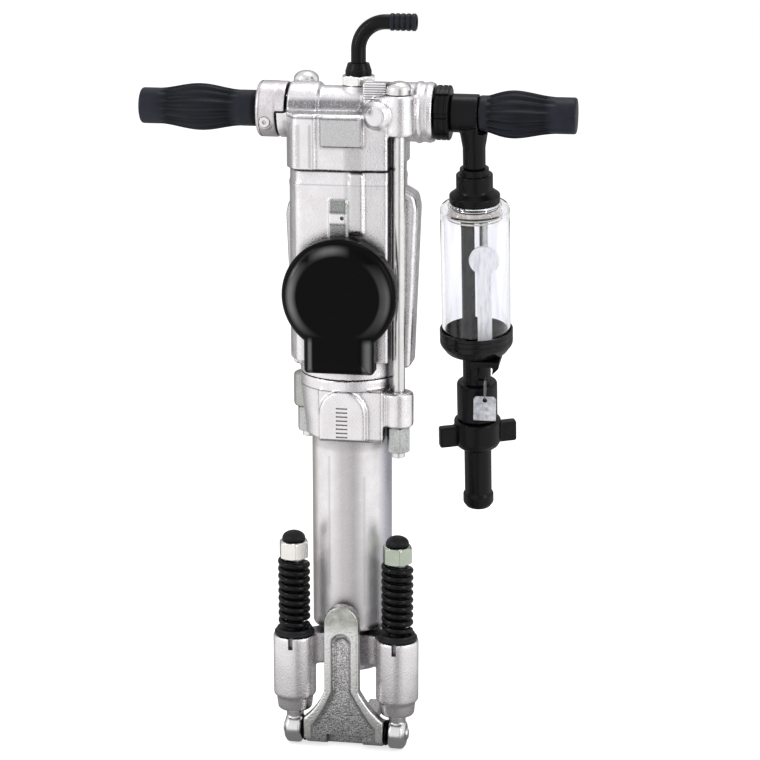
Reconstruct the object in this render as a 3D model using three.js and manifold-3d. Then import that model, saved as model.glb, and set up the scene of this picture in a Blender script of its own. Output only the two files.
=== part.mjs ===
// Pneumatic rock drill of the hand-held sinker type, with its line oiler and sprung steel retainer.
// Millimetres, +Z up along the drill axis, -Y to the front (muffler side), +X to the air inlet side.
// The origin is the chuck mouth on the drill axis, where the drill steel enters from below.

import * as THREE from "three";
import { mergeVertices } from "three/addons/utils/BufferGeometryUtils.js";
import Module from "manifold-3d";

// Working clearances and finish
const fitGap = 0.3;
const slideGap = 0.4;
const cutOverrun = 2;
const weldDistance = 1e-4;
const edgeRound = 2.5;
const castRound = 5;

// Facets round a turned piece
const largeSides = 24;
const barrelSides = 20;
const mediumSides = 18;
const plainSides = 14;
const smallSides = 10;
const tinySides = 8;
const portSides = 6;
const halfTurn = 180;

// Barrel of the machine, from the chuck mouth up
const noseRadius = 30;
const noseLength = 43;
const noseBoreRadius = 22;
const noseChamberRadius = 25;
const noseChamberTop = 49;
const noseLipHeight = 12;
const frontTubeRadius = 38.6;
const frontTubeLength = 194.5;
const frontTubeBoreRadius = 31;
const collarRadius = 44.5;
const collarHeight = 8;
const frontFlangeRadius = 49.5;
const frontFlangeThickness = 10;
const frontConeHeight = 42.5;
const frontApronLeft = 24;
const frontApronRight = 38;
const frontApronFront = 46;

// Cylinder
const bodyLeft = 53.5;
const bodyRight = 49;
const bodyFront = 47;
const bodyBack = 46;
const bodyCornerWidth = 10.5;
const bodyCornerDepth = 17;
const bodyFrontStep = 4;
const bodyFrontRecede = 3.5;
const bodyRoundStart = 315;
const cylinderBoreRadius = 35;
const cylinderLength = 199;
const cylinderFlangeRadius = 49.2;
const cylinderFlangeHeight = 13;
const portHousingDepth = 34;
const leftPortTopReach = 60.5;
const leftPortFootReach = 54.5;
const leftPortTopDrop = 26;
const rightPortTopReach = 65.5;
const rightPortFootReach = 59.3;
const rightPortTopDrop = 18;
const portHousingFootRise = 6;
const portHousingShoulder = 13;
const chestPadWidth = 17;
const chestPadHeight = 34;
const chestPadOffset = 4;
const chestPadProud = 2.5;
const chestPlugRadius = 4;
const chestStripLeft = 7;
const chestStripWidth = 12.5;
const chestStripProud = 1.2;
const chestStripLength = 58;
const topBandHeight = 11.5;
const topBandProud = 1;

// Exhaust muffler
const mufflerRadius = 54.2;
const mufflerRise = 84.9;
const mufflerStemHalf = 33.2;
const mufflerStemReach = 74.2;
const mufflerFront = 74;
const mufflerBack = 52;
const mufflerWall = 4.4;
const mufflerRound = 7;
const mufflerSeatFront = 57;
const mufflerSeatBack = 42.5;
const mufflerNeckHalf = 36;
const mufflerNeckReach = 44;
const mufflerOutletHeight = 8;
const mufflerOutletSideMargin = 9;
const exhaustPortRadius = 12;

// Side rods that clamp the rear head, cylinder and front head together
const frontRodX = 50.5;
const backRodX = 49;
const rodOffsetY = 31;
const rodRadius = 6.2;
const rodNotchSide = 42;
const rodNotchDepth = 23;
const backNotchSide = 39;
const backNotchDepth = 21;
const rodDomeRadius = 12;
const rodDomeHeight = 12.5;
const rodThreadBelowNut = 6;
const rodLugRadius = 14.5;
const rodLugFootHeight = 46;
const rodNutAcrossFlats = 20.5;
const rodNutHeight = 24.5;
const rodLugDrop = 12;

// Rear head
const rearSkirtHeight = 52.2;
const rearSkirtGrow = 2;
const skirtColumnRight = 26;
const skirtColumnProud = 1.7;
const handleRise = 49.7;
const rearBarrelRadius = 26.6;
const rearBarrelSlimRadius = 23;
const rearBarrelLeft = 57.2;
const rearBarrelStep = 29.2;
const rearBarrelRight = 80;
const inletBossLeft = 45;
const inletBossRadius = 27.6;
const turretLeft = 16.7;
const turretWidth = 25.3;
const turretDepthFront = 34;
const turretDepthBack = 30;
const turretTopRise = 24;
const turretBlockBack = 17;
const turretBlockRise = 6.3;
const turretDomeRadius = 14;
const turretDomeX = 32;
const turretDomeProud = 18;
const turretDomeRise = 2;
const rearLugRadius = 15.2;
const rearBackLugRadius = 13;
const rearLugTopRise = 20;
const rearLugHeight = 38;
const padHalfWidth = 19.5;
const padFront = 53;
const padBottomDrop = 26.5;
const padTopDrop = 0;
const padBevel = 1.5;
const spigotHeight = 6;
const throttleBoreRadius = 17;
const throttleBoreEnd = 20;
const inletBoreRadius = 14;
const inletBoreEnd = 22;
const airPassageRadius = 5.5;
const airPassageBack = 15;
const downPortRadius = 6;
const downPortOffset = 28;
const inletRidgeOffset = 4.5;
const inletRidgeWidth = 4;
const inletRidgeProud = 1.6;

// Water inlet on top
const waterOffset = 7;
const waterBushAcrossFlats = 30;
const waterBushHeight = 9;
const waterBushSpigotRadius = 8.6;
const waterBushSpigotDepth = 14;
const waterBoreRadius = 4.5;
const waterChamberRadius = 8;
const waterChamberHeight = 26;
const waterGlandRadius = 12.4;
const waterGlandTopRadius = 9.9;
const waterGlandHeight = 11;
const elbowRadius = 7;
const elbowBoreRadius = 4.4;
const elbowRise = 59;
const elbowBendRadius = 26;
const elbowReach = 42.25;
const elbowSteps = 7;
const elbowCollarRadius = 8.4;
const elbowCollarHeight = 3;
const ferruleRadius = 8.1;
const ferruleLength = 25.5;
const waterTubeRadius = 3.4;
const waterTubeBoreRadius = 1.7;
const waterTubeFoot = 72;
const waterTubeHeadRadius = 6.6;
const waterTubeHeadHeight = 6;
const waterSealHeight = 8;

// Throttle side
const throttleTubeRadius = 16.5;
const throttleTubeBoreRadius = 10;
const throttleWindowWidth = 14;
const gripCoreRadius = 12;
const gripCoreEndInset = 5;
const throttleCollarRadius = 26.5;
const throttleCollarLeft = 87.2;
const throttleCollarRight = 68.2;
const throttleCollarRound = 3;
const dogLength = 9;
const dogWallThickness = 8.6;
const dogGap = 1.2;
const throttleDogDegrees = 143;
const headDogDegrees = 136;
const collarScrewRadius = 5.2;
const collarScrewHeadHeight = 2.6;
const collarScrewShankRadius = 2.6;
const collarScrewDepth = 9;
const collarScrewDrop = 9.5;
const collarScrewBack = 6;

// Rubber grips
const gripEndRadius = 17;
const gripBulgeRadius = 22.4;
const leftGripEnd = 201.7;
const rightGripStart = 121;
const rightGripEnd = 211.5;
const gripPlainEndLength = 15;
const rightGripLead = 7;
const rightGripSkewShare = 0.7;
const leftGripSkewShare = 1;
const gripFluteDepth = 1.5;
const gripFluteCount = 10;
const gripRingCount = 7;

// Air inlet swivel
const ringNutLeft = 81;
const ringNutRight = 94.5;
const ringNutRadius = 25.6;
const ringNutBoreRadius = 15;
const ringNutNotchDepth = 1.8;
const ringNutNotchWidth = 7;
const ringNutNotchCount = 6;
const swivelSpigotRadius = 13.6;
const swivelSpigotEnd = 44;
const swivelFlangeRadius = 19.4;
const swivelFlangeWidth = 4.5;
const swivelBodyRadius = 18;
const swivelAirBoreRadius = 9;
const branchOffset = 115.5;
const branchTopRadius = 13;
const branchRadius = 10.7;
const branchBoreRadius = 7;
const oilerLeanDegrees = 9;

// Line oiler, as distances below the handle axis
const oilerNeckTop = 52.7;
const oilerNeckRadius = 13.8;
const oilerShoulderTop = 58.7;
const oilerShoulderRadius = 17.4;
const oilerFlareTop = 74.5;
const oilerFlangeTop = 79;
const oilerFlangeRadius = 24;
const oilerFlangeBottom = 86.5;
const oilerPlugRadius = 21.5;
const oilerPlugBottom = 100;
const cupTop = 87;
const cupRadius = 33;
const cupWall = 3.2;
const cupShoulderRound = 9;
const cupBottom = 231;
const cupBeadDrop = 7;
const cupBeadProud = 1.3;
const baseRimTop = 214.5;
const baseRadius = 35.4;
const baseWall = 2;
const baseFloorTop = 231.4;
const baseBottom = 238;
const baseBottomRadius = 29;
const airTubeRadius = 6.6;
const airTubeBoreRadius = 4.8;
const airTubeOffset = 7;
const feedColumnRadius = 4.2;
const feedColumnOffsetX = 2.5;
const feedColumnOffsetY = 9;
const feedColumnDiscRadius = 14.2;
const feedDiscDrop = 54;
const feedDiscThickness = 4;
const feedStemHalf = 6.6;
const feedDiscOffsetX = 10;
const feedDiscFront = 15.5;
const neckRadius = 13.6;
const neckBottom = 270;
const bodyRadius = 19.8;
const bodyRound = 4;
const bodyBottom = 309;
const bodyBoreRadius = 9.5;
const eyePlateFront = 29;
const eyePlateThickness = 5;
const eyePlateHalf = 13.8;
const eyePlateOffset = 11.5;
const eyePlateBottom = 263;
const eyeWindowHalf = 8;
const eyeWindowTop = 243.5;
const eyeWindowBottom = 257.4;

// Hose end
const wingHubRadius = 23;
const wingHubTop = 309.4;
const wingHubBottom = 341;
const wingHubFootRadius = 15;
const wingHubChamfer = 7;
const wingTop = 315.5;
const wingBottom = 336.5;
const wingReach = 38.6;
const wingThickness = 9;
const wingTurnDegrees = 21;
const wingBoreRadius = 16;
const tailRadius = 13.3;
const tailBoreRadius = 8.5;
const tailFlangeRadius = 18;
const tailFlangeThickness = 5;
const tailBelowNut = 63;
const tailBeadRadius = 15;
const tailBeadLength = 15;
const strainerRadius = 9;
const strainerWall = 1.4;
const strainerLength = 34;

// Tag on its wire
const tagWidth = 22;
const tagHeight = 24;
const tagThickness = 1;
const tagHoleRadius = 2.4;
const tagHoleDrop = 4;
const wireRadius = 0.7;
const wireDrop = 21;
const wireHalfDepth = 5.4;
const wireSteps = 8;
const wireSides = 5;

// Steel retainer, its two bolts and springs
const bossOffsetX = 50.8;
const bossOffsetY = 37;
const bossRadius = 20.8;
const bossTop = 39.5;
const bossStepDrop = 62.2;
const bossBottomDrop = 77.2;
const bossFootRadius = 16.5;
const bossBoreRadius = 9;
const bossSlotWidth = 4.4;
const bossSlotHeight = 11;
const bossSlotDepth = 5;
const webHalfThickness = 11;
const webFoot = 8;
const retainerBoltRadius = 8.5;
const boltEndRadius = 11.2;
const boltDomeHeight = 9.4;
const retainerNutAcrossFlats = 26.6;
const retainerNutHeight = 17;
const retainerNutSideHeight = 12;
const springSeatHeight = 6.2;
const springSeatRadius = 19.6;
const springSeatLip = 3;
const springLength = 71;
const springOuterRadius = 15.7;
const springWireRadius = 3.15;
const springCurls = 8;
const springSides = 5;
const springStepsPerCurl = 7;
const hingeDrop = 59;
const eyeRadius = 15;
const eyeHalfWidth = 9.2;
const eyeRound = 4;
const hingePinRadius = 6;
const hingePinOverhang = 2;
const retainerBarrelRadius = 13.5;
const retainerHalfWidth = 39;
const tongueHalfWidth = 17;
const tongueOffset = -1.5;
const tongueTop = 74.7;
const tongueFlareTop = -13;
const tongueFlareMidHalf = 26.5;
const tongueFlareMid = -33;
const tongueFootTop = -42;
const tongueFootBottom = -64;
const tongueBack = 42.5;
const tongueFront = 55;
const tongueRimWidth = 5;
const tonguePanelDepth = 5;
const forkHalfWidth = 28.6;
const forkSlotHalf = 14.5;
const forkTop = -44;
const forkBottom = -56;
const forkReach = 12;
const footNotchHalf = 18;
const footNotchRise = 5;

// Drive inside the barrel
const pistonHeadRadius = 34.6;
const pistonHeadHeight = 48;
const pistonStemRadius = 19.2;
const pistonTipRise = 12.6;
const pistonNoseRadius = 15;
const pistonNoseHeight = 16;
const pistonRestRise = 8.7;
const pistonGrooveWidth = 7;
const pistonGrooveDepth = 3.4;
const pistonGrooveTopDrop = 18;
const splineCount = 4;
const rifleBoreRadius = 14.4;
const rifleBoreDepth = 94;
const waterPassageRadius = 4.6;
const rifleNutHeight = 20;
const rifleNutRadius = 18;
const rifleRadius = 13;
const rifleFluteDepth = 1.9;
const rifleFluteCount = 6;
const rifleLead = 800;
const rifleTipDrop = 25.2;
const rifleRingStep = 28;
const rifleHeadRadius = 22;
const rifleNeckRadius = 13.4;
const ratchetHeight = 19;
const ratchetToothCount = 24;
const ratchetTipRadius = 24.6;
const ratchetRootRadius = 28;
const ratchetLeadShare = 0.22;
const ratchetRakeShare = 0.06;
const pawlCount = 4;
const pawlPivotRadius = 17.4;
const pawlHeelRadius = 3.3;
const pawlNoseHalf = 1.3;
const pawlSwingDegrees = 14;
const pawlReachDegrees = 22.5;
const valveCoverHeight = 6.5;
const valveChestHeight = 20;
const valveGrooveInner = 20;
const valveGrooveOuter = 29;
const valveGrooveDepth = 7;
const valveTravel = 2.4;
const valvePortRadius = 2.6;
const valvePortCount = 6;
const guideBushHeight = 37;
const guideBushTopDrop = 0.6;
const sleeveBottom = 96;
const sleeveTopDrop = 62;
const sleeveKeyBottom = 176;
const sleeveKeyWidth = 6;
const sleeveKeyDepth = 2.8;
const chuckBottom = 14;
const chuckTop = 95.6;
const chuckBoreRadius = 18.8;
const dogSlotWidth = 14;
const dogSlotDepth = 8;
const bushingAcrossFlats = 22.6;
const bushingTop = 84;
const noseBushBoreRadius = 14;

// Heights that follow from the sizes above
const tubeTop = noseLength + frontTubeLength;
const coneTop = tubeTop + collarHeight + frontConeHeight;
const flangeTop = coneTop + frontFlangeThickness;
const cylinderBottom = flangeTop + fitGap;
const cylinderTop = cylinderBottom + cylinderLength;
const jointHeight = cylinderTop + fitGap;
const handleHeight = jointHeight + handleRise;
const mufflerCentre = cylinderBottom + mufflerRise;
const mufflerFoot = mufflerCentre - mufflerStemReach;
const bossBottom = bossTop - bossBottomDrop;
const seatBottom = bossTop + fitGap;
const springBottom = seatBottom + springSeatHeight + fitGap;
const springTop = springBottom + springLength;
const retainerNutBottom = springTop + fitGap;
const retainerNutTop = retainerNutBottom + retainerNutHeight;
const pistonBottom = cylinderBottom + pistonRestRise;
const pistonTop = pistonBottom + pistonHeadHeight;
const pistonTip = chuckTop + pistonTipRise;
const rifleTip = pistonTop - rifleTipDrop;
const sleeveTop = flangeTop - sleeveTopDrop;
const tailEnd = wingHubBottom + tailBelowNut;
const spigotBottom = jointHeight - spigotHeight;
const ratchetTop = spigotBottom - fitGap;
const ratchetBottom = ratchetTop - ratchetHeight;
const valveCoverTop = ratchetBottom - fitGap;
const valveCoverBottom = valveCoverTop - valveCoverHeight;
const valveChestTop = valveCoverBottom - fitGap;
const valveChestBottom = valveChestTop - valveChestHeight;
const waterTubeTop = jointHeight + rearSkirtHeight - waterTubeHeadHeight;
const rearLugTop = handleHeight + rearLugTopRise;
const barrelCrown = handleHeight + turretTopRise;
const elbowBendHeight = barrelCrown + elbowRise;

const wasm = await Module();
wasm.setup();

// A closed geometry as a solid, turned the right way out
function solid(geometry) {
  const bare = geometry.index ? geometry.toNonIndexed() : geometry.clone();
  bare.deleteAttribute("normal");
  bare.deleteAttribute("uv");
  const merged = mergeVertices(bare, weldDistance);
  const source = merged.index.array;
  const faces = [];
  for (let i = 0; i < source.length; i += 3) {
    const [a, b, c] = [source[i], source[i + 1], source[i + 2]];
    if (a !== b && b !== c && c !== a) faces.push(a, b, c);
  }
  const vertProperties = merged.attributes.position.array;
  const make = (list) =>
    new wasm.Manifold(new wasm.Mesh({ numProp: 3, vertProperties, triVerts: new Uint32Array(list) }));
  const made = make(faces);
  return made.volume() < 0 ? make(faces.reverse()) : made;
}

const join = (first, ...others) => others.reduce((sum, one) => sum.add(one), first);
const cut = (first, ...others) => others.reduce((rest, one) => rest.subtract(one), first);
const moved = (body, x, y, z) => body.translate([x, y, z]);
const radians = THREE.MathUtils.degToRad;

// Turned pieces: each profile is a list of [radius, place along the axis]
function lathe(profile, sides) {
  const points = profile.map(([radius, along]) => new THREE.Vector2(radius, along));
  return new THREE.LatheGeometry(points, sides);
}
const turnedZ = (profile, sides = mediumSides) => solid(lathe(profile, sides).rotateX(Math.PI / 2));
const turnedX = (profile, sides = mediumSides) => solid(lathe(profile, sides).rotateZ(-Math.PI / 2));
const turnedY = (profile, sides = mediumSides) => solid(lathe(profile, sides));
const rodProfile = (radius, from, to) => [[0, from], [radius, from], [radius, to], [0, to]];
const ringProfile = (inner, outer, from, to) => [
  [inner, from], [outer, from], [outer, to], [inner, to], [inner, from],
];

// Straight extrusions: a plan (x, y) raised along Z, a front view (x, z) along Y, a side view (y, z) along X
function slab(shape, depth, round, curveSegments) {
  const bevel = round > 0;
  return new THREE.ExtrudeGeometry(shape, {
    depth: depth - 2 * round,
    bevelEnabled: bevel,
    bevelSize: round,
    bevelThickness: round,
    bevelOffset: -round,
    bevelSegments: 2,
    curveSegments,
  }).translate(0, 0, round);
}
function raised(shape, from, to, round = 0, curveSegments = 5) {
  return solid(slab(shape, to - from, round, curveSegments).translate(0, 0, from));
}
function frontPlate(shape, front, back, round = 0, curveSegments = 5) {
  const geometry = slab(shape, back - front, round, curveSegments).rotateX(Math.PI / 2);
  return solid(geometry.translate(0, back, 0));
}
function sidePlate(shape, left, right, round = 0, curveSegments = 5) {
  const geometry = slab(shape, right - left, round, curveSegments);
  return solid(geometry.rotateX(Math.PI / 2).rotateZ(Math.PI / 2).translate(left, 0, 0));
}
function block(x0, x1, y0, y1, z0, z1) {
  const geometry = new THREE.BoxGeometry(x1 - x0, y1 - y0, z1 - z0);
  return solid(geometry.translate((x0 + x1) / 2, (y0 + y1) / 2, (z0 + z1) / 2));
}
const outline = (points) => new THREE.Shape(points.map(([x, y]) => new THREE.Vector2(x, y)));
function roundShape(radius, x = 0, y = 0) {
  const shape = new THREE.Shape();
  shape.absarc(x, y, radius, 0, 2 * Math.PI);
  return shape;
}
function hexShape(acrossFlats, turn = 0) {
  const corner = acrossFlats / Math.sqrt(3);
  return outline([...Array(6).keys()].map((k) => {
    const angle = (k * Math.PI) / 3 + turn;
    return [corner * Math.cos(angle), corner * Math.sin(angle)];
  }));
}

// A hexagon nut along Z with chamfered corners and a plain bore
function hexNut(acrossFlats, bore, bottom, top) {
  const corner = acrossFlats / Math.sqrt(3);
  const chamfer = corner - acrossFlats / 2;
  const cone = turnedZ([
    [0, bottom], [acrossFlats / 2, bottom], [corner, bottom + chamfer / 2],
    [corner, top - chamfer / 2], [acrossFlats / 2, top], [0, top],
  ]);
  const hole = turnedZ(rodProfile(bore, bottom - cutOverrun, top + cutOverrun), smallSides);
  return cut(raised(hexShape(acrossFlats), bottom, top).intersect(cone), hole);
}

// A retainer nut: hexagon sides, then a crown that rounds in towards its top
function crownNut(bore) {
  const corner = retainerNutAcrossFlats / Math.sqrt(3);
  const sideTop = retainerNutBottom + retainerNutSideHeight;
  const crown = turnedZ([
    [0, retainerNutBottom], [corner - edgeRound / 2, retainerNutBottom], [corner, retainerNutBottom + edgeRound / 2],
    [corner, sideTop], [retainerNutAcrossFlats / 2, (sideTop + retainerNutTop) / 2],
    [boltEndRadius, retainerNutTop], [0, retainerNutTop],
  ]);
  const hole = turnedZ(rodProfile(bore, retainerNutBottom - cutOverrun, retainerNutTop + cutOverrun), smallSides);
  return cut(raised(hexShape(retainerNutAcrossFlats, Math.PI / 6), retainerNutBottom, retainerNutTop).intersect(crown), hole);
}

// Section of a straight-sided wedge of a ring, seen along its axis, between two angles in degrees
function ringSector(inner, outer, startDegrees, endDegrees) {
  const shape = new THREE.Shape();
  shape.absarc(0, 0, outer, radians(startDegrees), radians(endDegrees), false);
  shape.absarc(0, 0, inner, radians(endDegrees), radians(startDegrees), true);
  shape.closePath();
  return shape;
}

// A skin through equal rings of points, closed by a fan at each end
function skinned(rings) {
  const sides = rings[0].length;
  const positions = [];
  const push = (...points) => points.forEach((p) => positions.push(p.x, p.y, p.z));
  for (let r = 0; r < rings.length - 1; r += 1) {
    for (let s = 0; s < sides; s += 1) {
      const next = (s + 1) % sides;
      push(rings[r][s], rings[r][next], rings[r + 1][next]);
      push(rings[r][s], rings[r + 1][next], rings[r + 1][s]);
    }
  }
  for (const [ring, flip] of [[rings[0], true], [rings[rings.length - 1], false]]) {
    const centre = ring.reduce((sum, p) => sum.add(p), new THREE.Vector3()).divideScalar(sides);
    for (let s = 0; s < sides; s += 1) {
      const pair = [ring[s], ring[(s + 1) % sides]];
      push(centre, ...(flip ? pair.reverse() : pair));
    }
  }
  const geometry = new THREE.BufferGeometry();
  geometry.setAttribute("position", new THREE.BufferAttribute(new Float32Array(positions), 3));
  return solid(geometry);
}

// Materials
const finish = (color, roughness, metalness) =>
  new THREE.MeshStandardMaterial({ color, roughness, metalness });
const castSilver = () => finish(0xc9c9c6, 0.38, 0.9);
const machinedSteel = () => finish(0xb9b9bd, 0.25, 1);
const forgedSteel = () => finish(0x8d8d8c, 0.45, 0.9);
const pinkCast = () => finish(0xcfc4c2, 0.5, 0.7);
const blackPaint = () => finish(0x17181c, 0.45, 0.2);
const glossBlack = () => finish(0x0c0c10, 0.18, 0);
const blackRubber = () => finish(0x1b1c20, 0.7, 0);
const springBlack = () => finish(0x101012, 0.35, 0.6);
const bronze = () => finish(0xa9793f, 0.4, 0.9);
const clearPlastic = () => finish(0xe6e6ea, 0.08, 0);
const whitePlastic = () => finish(0xe9e9ec, 0.35, 0);

const drill = new THREE.Group();
function place(name, body, material, parent = drill) {
  const { numProp, vertProperties, triVerts } = body.getMesh();
  const positions = new Float32Array((vertProperties.length / numProp) * 3);
  for (let i = 0; i < positions.length / 3; i += 1) {
    positions.set(vertProperties.subarray(i * numProp, i * numProp + 3), i * 3);
  }
  const geometry = new THREE.BufferGeometry();
  geometry.setAttribute("position", new THREE.BufferAttribute(positions, 3));
  geometry.setIndex(new THREE.BufferAttribute(new Uint32Array(triVerts), 1));
  geometry.computeVertexNormals();
  const mesh = new THREE.Mesh(geometry, material);
  mesh.name = name;
  parent.add(mesh);
  return mesh;
}

const rodPlaces = [["front", frontRodX, -rodOffsetY], ["back", -backRodX, rodOffsetY]];
const sidePlaces = [["left", -1], ["right", 1]];

// A boss round a side rod, webbed back to the barrel
function rodLug(x, y, radius, bottom, top, webRadius) {
  const reach = Math.hypot(x, y);
  const side = [(-y / reach) * radius, (x / reach) * radius];
  const root = [(x / reach) * webRadius, (y / reach) * webRadius];
  const web = outline([
    [root[0] - side[0], root[1] - side[1]], [x - side[0], y - side[1]],
    [x + side[0], y + side[1]], [root[0] + side[0], root[1] + side[1]],
  ]);
  return join(raised(web, bottom, top), moved(turnedZ(rodProfile(radius, bottom, top)), x, y, 0));
}
function rodHole(x, y, bottom, top) {
  const hole = turnedZ(rodProfile(rodRadius + fitGap, bottom - cutOverrun, top + cutOverrun), smallSides);
  return moved(hole, x, y, 0);
}

// Plan of the body under the handle: flat front, cornered left side, and a notch for each side rod
function bodyPlan(grow, columnProud) {
  const left = -bodyLeft - grow;
  const right = bodyRight + grow;
  const front = -bodyFront - grow;
  const back = bodyBack + grow;
  return outline([
    [left + bodyCornerWidth, front - columnProud], [-skirtColumnRight, front - columnProud],
    [columnProud - skirtColumnRight, front], [bodyFrontStep, front], [rodNotchSide, front + bodyFrontRecede],
    [rodNotchSide, -rodNotchDepth], [right, -rodNotchDepth], [right, back - bodyCornerDepth],
    [right - bodyCornerWidth, back], [-backNotchSide, back], [-backNotchSide, backNotchDepth], [left, backNotchDepth],
    [left, front + bodyCornerDepth],
  ]);
}

// Front head: nose, tube, flared flange, rod lugs and the two retainer-bolt bosses in one casting
function frontHead() {
  const barrel = turnedZ([
    [0, 0], [noseRadius - edgeRound, 0], [noseRadius, edgeRound], [noseRadius, noseLength],
    [frontTubeRadius - edgeRound, noseLength], [frontTubeRadius, noseLength + edgeRound],
    [frontTubeRadius, tubeTop], [collarRadius, tubeTop], [collarRadius, tubeTop + collarHeight],
    [frontFlangeRadius, coneTop], [frontFlangeRadius, flangeTop], [0, flangeTop],
  ], largeSides);
  const shield = frontPlate(shieldShape(), -(frontFlangeRadius + castRound), -frontTubeRadius / 2, edgeRound);
  const apron = block(-frontApronLeft, frontApronRight, -frontApronFront, -frontTubeRadius / 2, tubeTop, coneTop);
  const lugs = rodPlaces.map(([, x, y]) =>
    rodLug(x, y, rodLugRadius, flangeTop - rodLugFootHeight, flangeTop - rodLugDrop, frontTubeRadius - castRound));
  const bosses = sidePlaces.flatMap(([, side]) => [boltBoss(side), bossWeb(side)]);
  const bore = turnedZ([
    [0, -cutOverrun], [noseBoreRadius, -cutOverrun], [noseBoreRadius, noseLipHeight],
    [noseChamberRadius, noseLipHeight], [noseChamberRadius, noseChamberTop],
    [frontTubeBoreRadius, noseChamberTop], [frontTubeBoreRadius, flangeTop + cutOverrun],
    [0, flangeTop + cutOverrun],
  ], largeSides);
  const holes = rodPlaces.map(([, x, y]) => rodHole(x, y, flangeTop - rodLugFootHeight, flangeTop));
  const boltBores = sidePlaces.flatMap(([, side]) => [boltBore(side), bossSlot(side)]);
  return cut(join(barrel, shield, apron, ...lugs, ...bosses), bore, ...holes, ...boltBores);
}
function shieldShape() {
  const half = collarRadius / 2;
  const foot = tubeTop + edgeRound;
  const shape = new THREE.Shape();
  shape.moveTo(-half, foot);
  shape.lineTo(half, foot);
  shape.lineTo(half, coneTop - half);
  shape.absarc(0, coneTop - half, half, 0, Math.PI, false);
  shape.closePath();
  return shape;
}
function boltBoss(side) {
  const boss = turnedZ([
    [0, bossBottom], [bossFootRadius, bossBottom], [bossRadius - edgeRound, bossTop - bossStepDrop],
    [bossRadius, bossTop - bossStepDrop], [bossRadius, bossTop - edgeRound],
    [bossRadius - edgeRound, bossTop], [0, bossTop],
  ]);
  return moved(boss, side * bossOffsetX, -bossOffsetY, 0);
}
function bossWeb(side) {
  const x = side * bossOffsetX;
  const web = outline([
    [0, webHalfThickness], [0, -noseRadius + edgeRound], [x, -bossOffsetY - webHalfThickness / 2],
    [x, -bossOffsetY + webHalfThickness],
  ]);
  return raised(web, webFoot, bossTop);
}
function boltBore(side) {
  const hole = turnedZ(rodProfile(bossBoreRadius, bossBottom - cutOverrun, bossTop + cutOverrun), smallSides);
  return moved(hole, side * bossOffsetX, -bossOffsetY, 0);
}
function bossSlot(side) {
  const x = side * bossOffsetX;
  const front = -bossOffsetY - bossRadius;
  return block(x - bossSlotWidth / 2, x + bossSlotWidth / 2, front - cutOverrun, front + bossSlotDepth,
    bossTop - bossSlotHeight, bossTop + cutOverrun);
}

// Cylinder: flat-fronted body, port housings down both sides, muffler seat, valve-chest pad and strip
function cylinder() {
  const foot = turnedZ(rodProfile(cylinderFlangeRadius, cylinderBottom, bodyRoundStart + edgeRound), largeSides);
  const body = raised(bodyPlan(0, 0), bodyRoundStart, cylinderTop - topBandHeight + edgeRound, edgeRound / 2);
  const band = raised(bodyPlan(-topBandProud / 2, 0), cylinderTop - topBandHeight - edgeRound, cylinderTop, edgeRound / 2);
  const housings = sidePlaces.map(([, side]) =>
    frontPlate(portHousingShape(side), -portHousingDepth / 2, portHousingDepth / 2, castRound));
  const seat = frontPlate(keyhole(mufflerWall + slideGap), -mufflerSeatFront, -mufflerSeatBack, 0, 12);
  const seatNeck = block(-mufflerNeckHalf, mufflerNeckHalf, -mufflerSeatBack - fitGap, -bodyFront / 2,
    mufflerCentre - mufflerNeckReach, mufflerCentre + mufflerNeckReach);
  const padTop = mufflerCentre + mufflerRadius + chestPadHeight;
  const pad = block(-chestPadWidth / 2 - chestPadOffset, chestPadWidth / 2 - chestPadOffset,
    -bodyFront - chestPadProud, -bodyFront / 2, mufflerCentre, padTop);
  const strip = block(chestStripLeft, chestStripLeft + chestStripWidth, -bodyFront - chestStripProud,
    -bodyFront / 2, cylinderTop - chestStripLength, cylinderTop - edgeRound);
  const plug = turnedY(rodProfile(chestPlugRadius, -bodyFront - 2 * chestPadProud, -bodyFront / 2), tinySides);
  const plugPlace = [-chestPadOffset, 0, padTop - chestPadHeight / 2];
  const bore = turnedZ(rodProfile(cylinderBoreRadius, cylinderBottom - cutOverrun, cylinderTop + cutOverrun), largeSides);
  const port = turnedY(rodProfile(exhaustPortRadius, -mufflerSeatFront - cutOverrun, -cylinderBoreRadius / 2));
  const outside = join(foot, body, band, ...housings, seat, seatNeck, pad, strip, moved(plug, ...plugPlace));
  const rooms = rodPlaces.map(([, x, y]) =>
    moved(turnedZ(rodProfile(rodRadius + 2 * slideGap, cylinderBottom - cutOverrun, cylinderTop + cutOverrun)), x, y, 0));
  return cut(outside, bore, moved(port, 0, 0, mufflerCentre), ...rooms);
}
function portHousingShape(side) {
  const left = side < 0;
  const foot = cylinderBottom + portHousingFootRise;
  const top = cylinderTop - (left ? leftPortTopDrop : rightPortTopDrop);
  const inner = cylinderBoreRadius + castRound;
  const reach = left ? leftPortTopReach : rightPortTopReach;
  const footReach = left ? leftPortFootReach : rightPortFootReach;
  return outline([
    [side * inner, foot], [side * footReach, foot],
    [side * reach, top - portHousingShoulder * 1.5], [side * (reach - portHousingShoulder / 8), top - portHousingShoulder],
    [side * (reach - portHousingShoulder / 3), top - portHousingShoulder / 2],
    [side * (reach - portHousingShoulder), top - portHousingShoulder / 4], [side * inner, top],
  ]);
}

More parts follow.
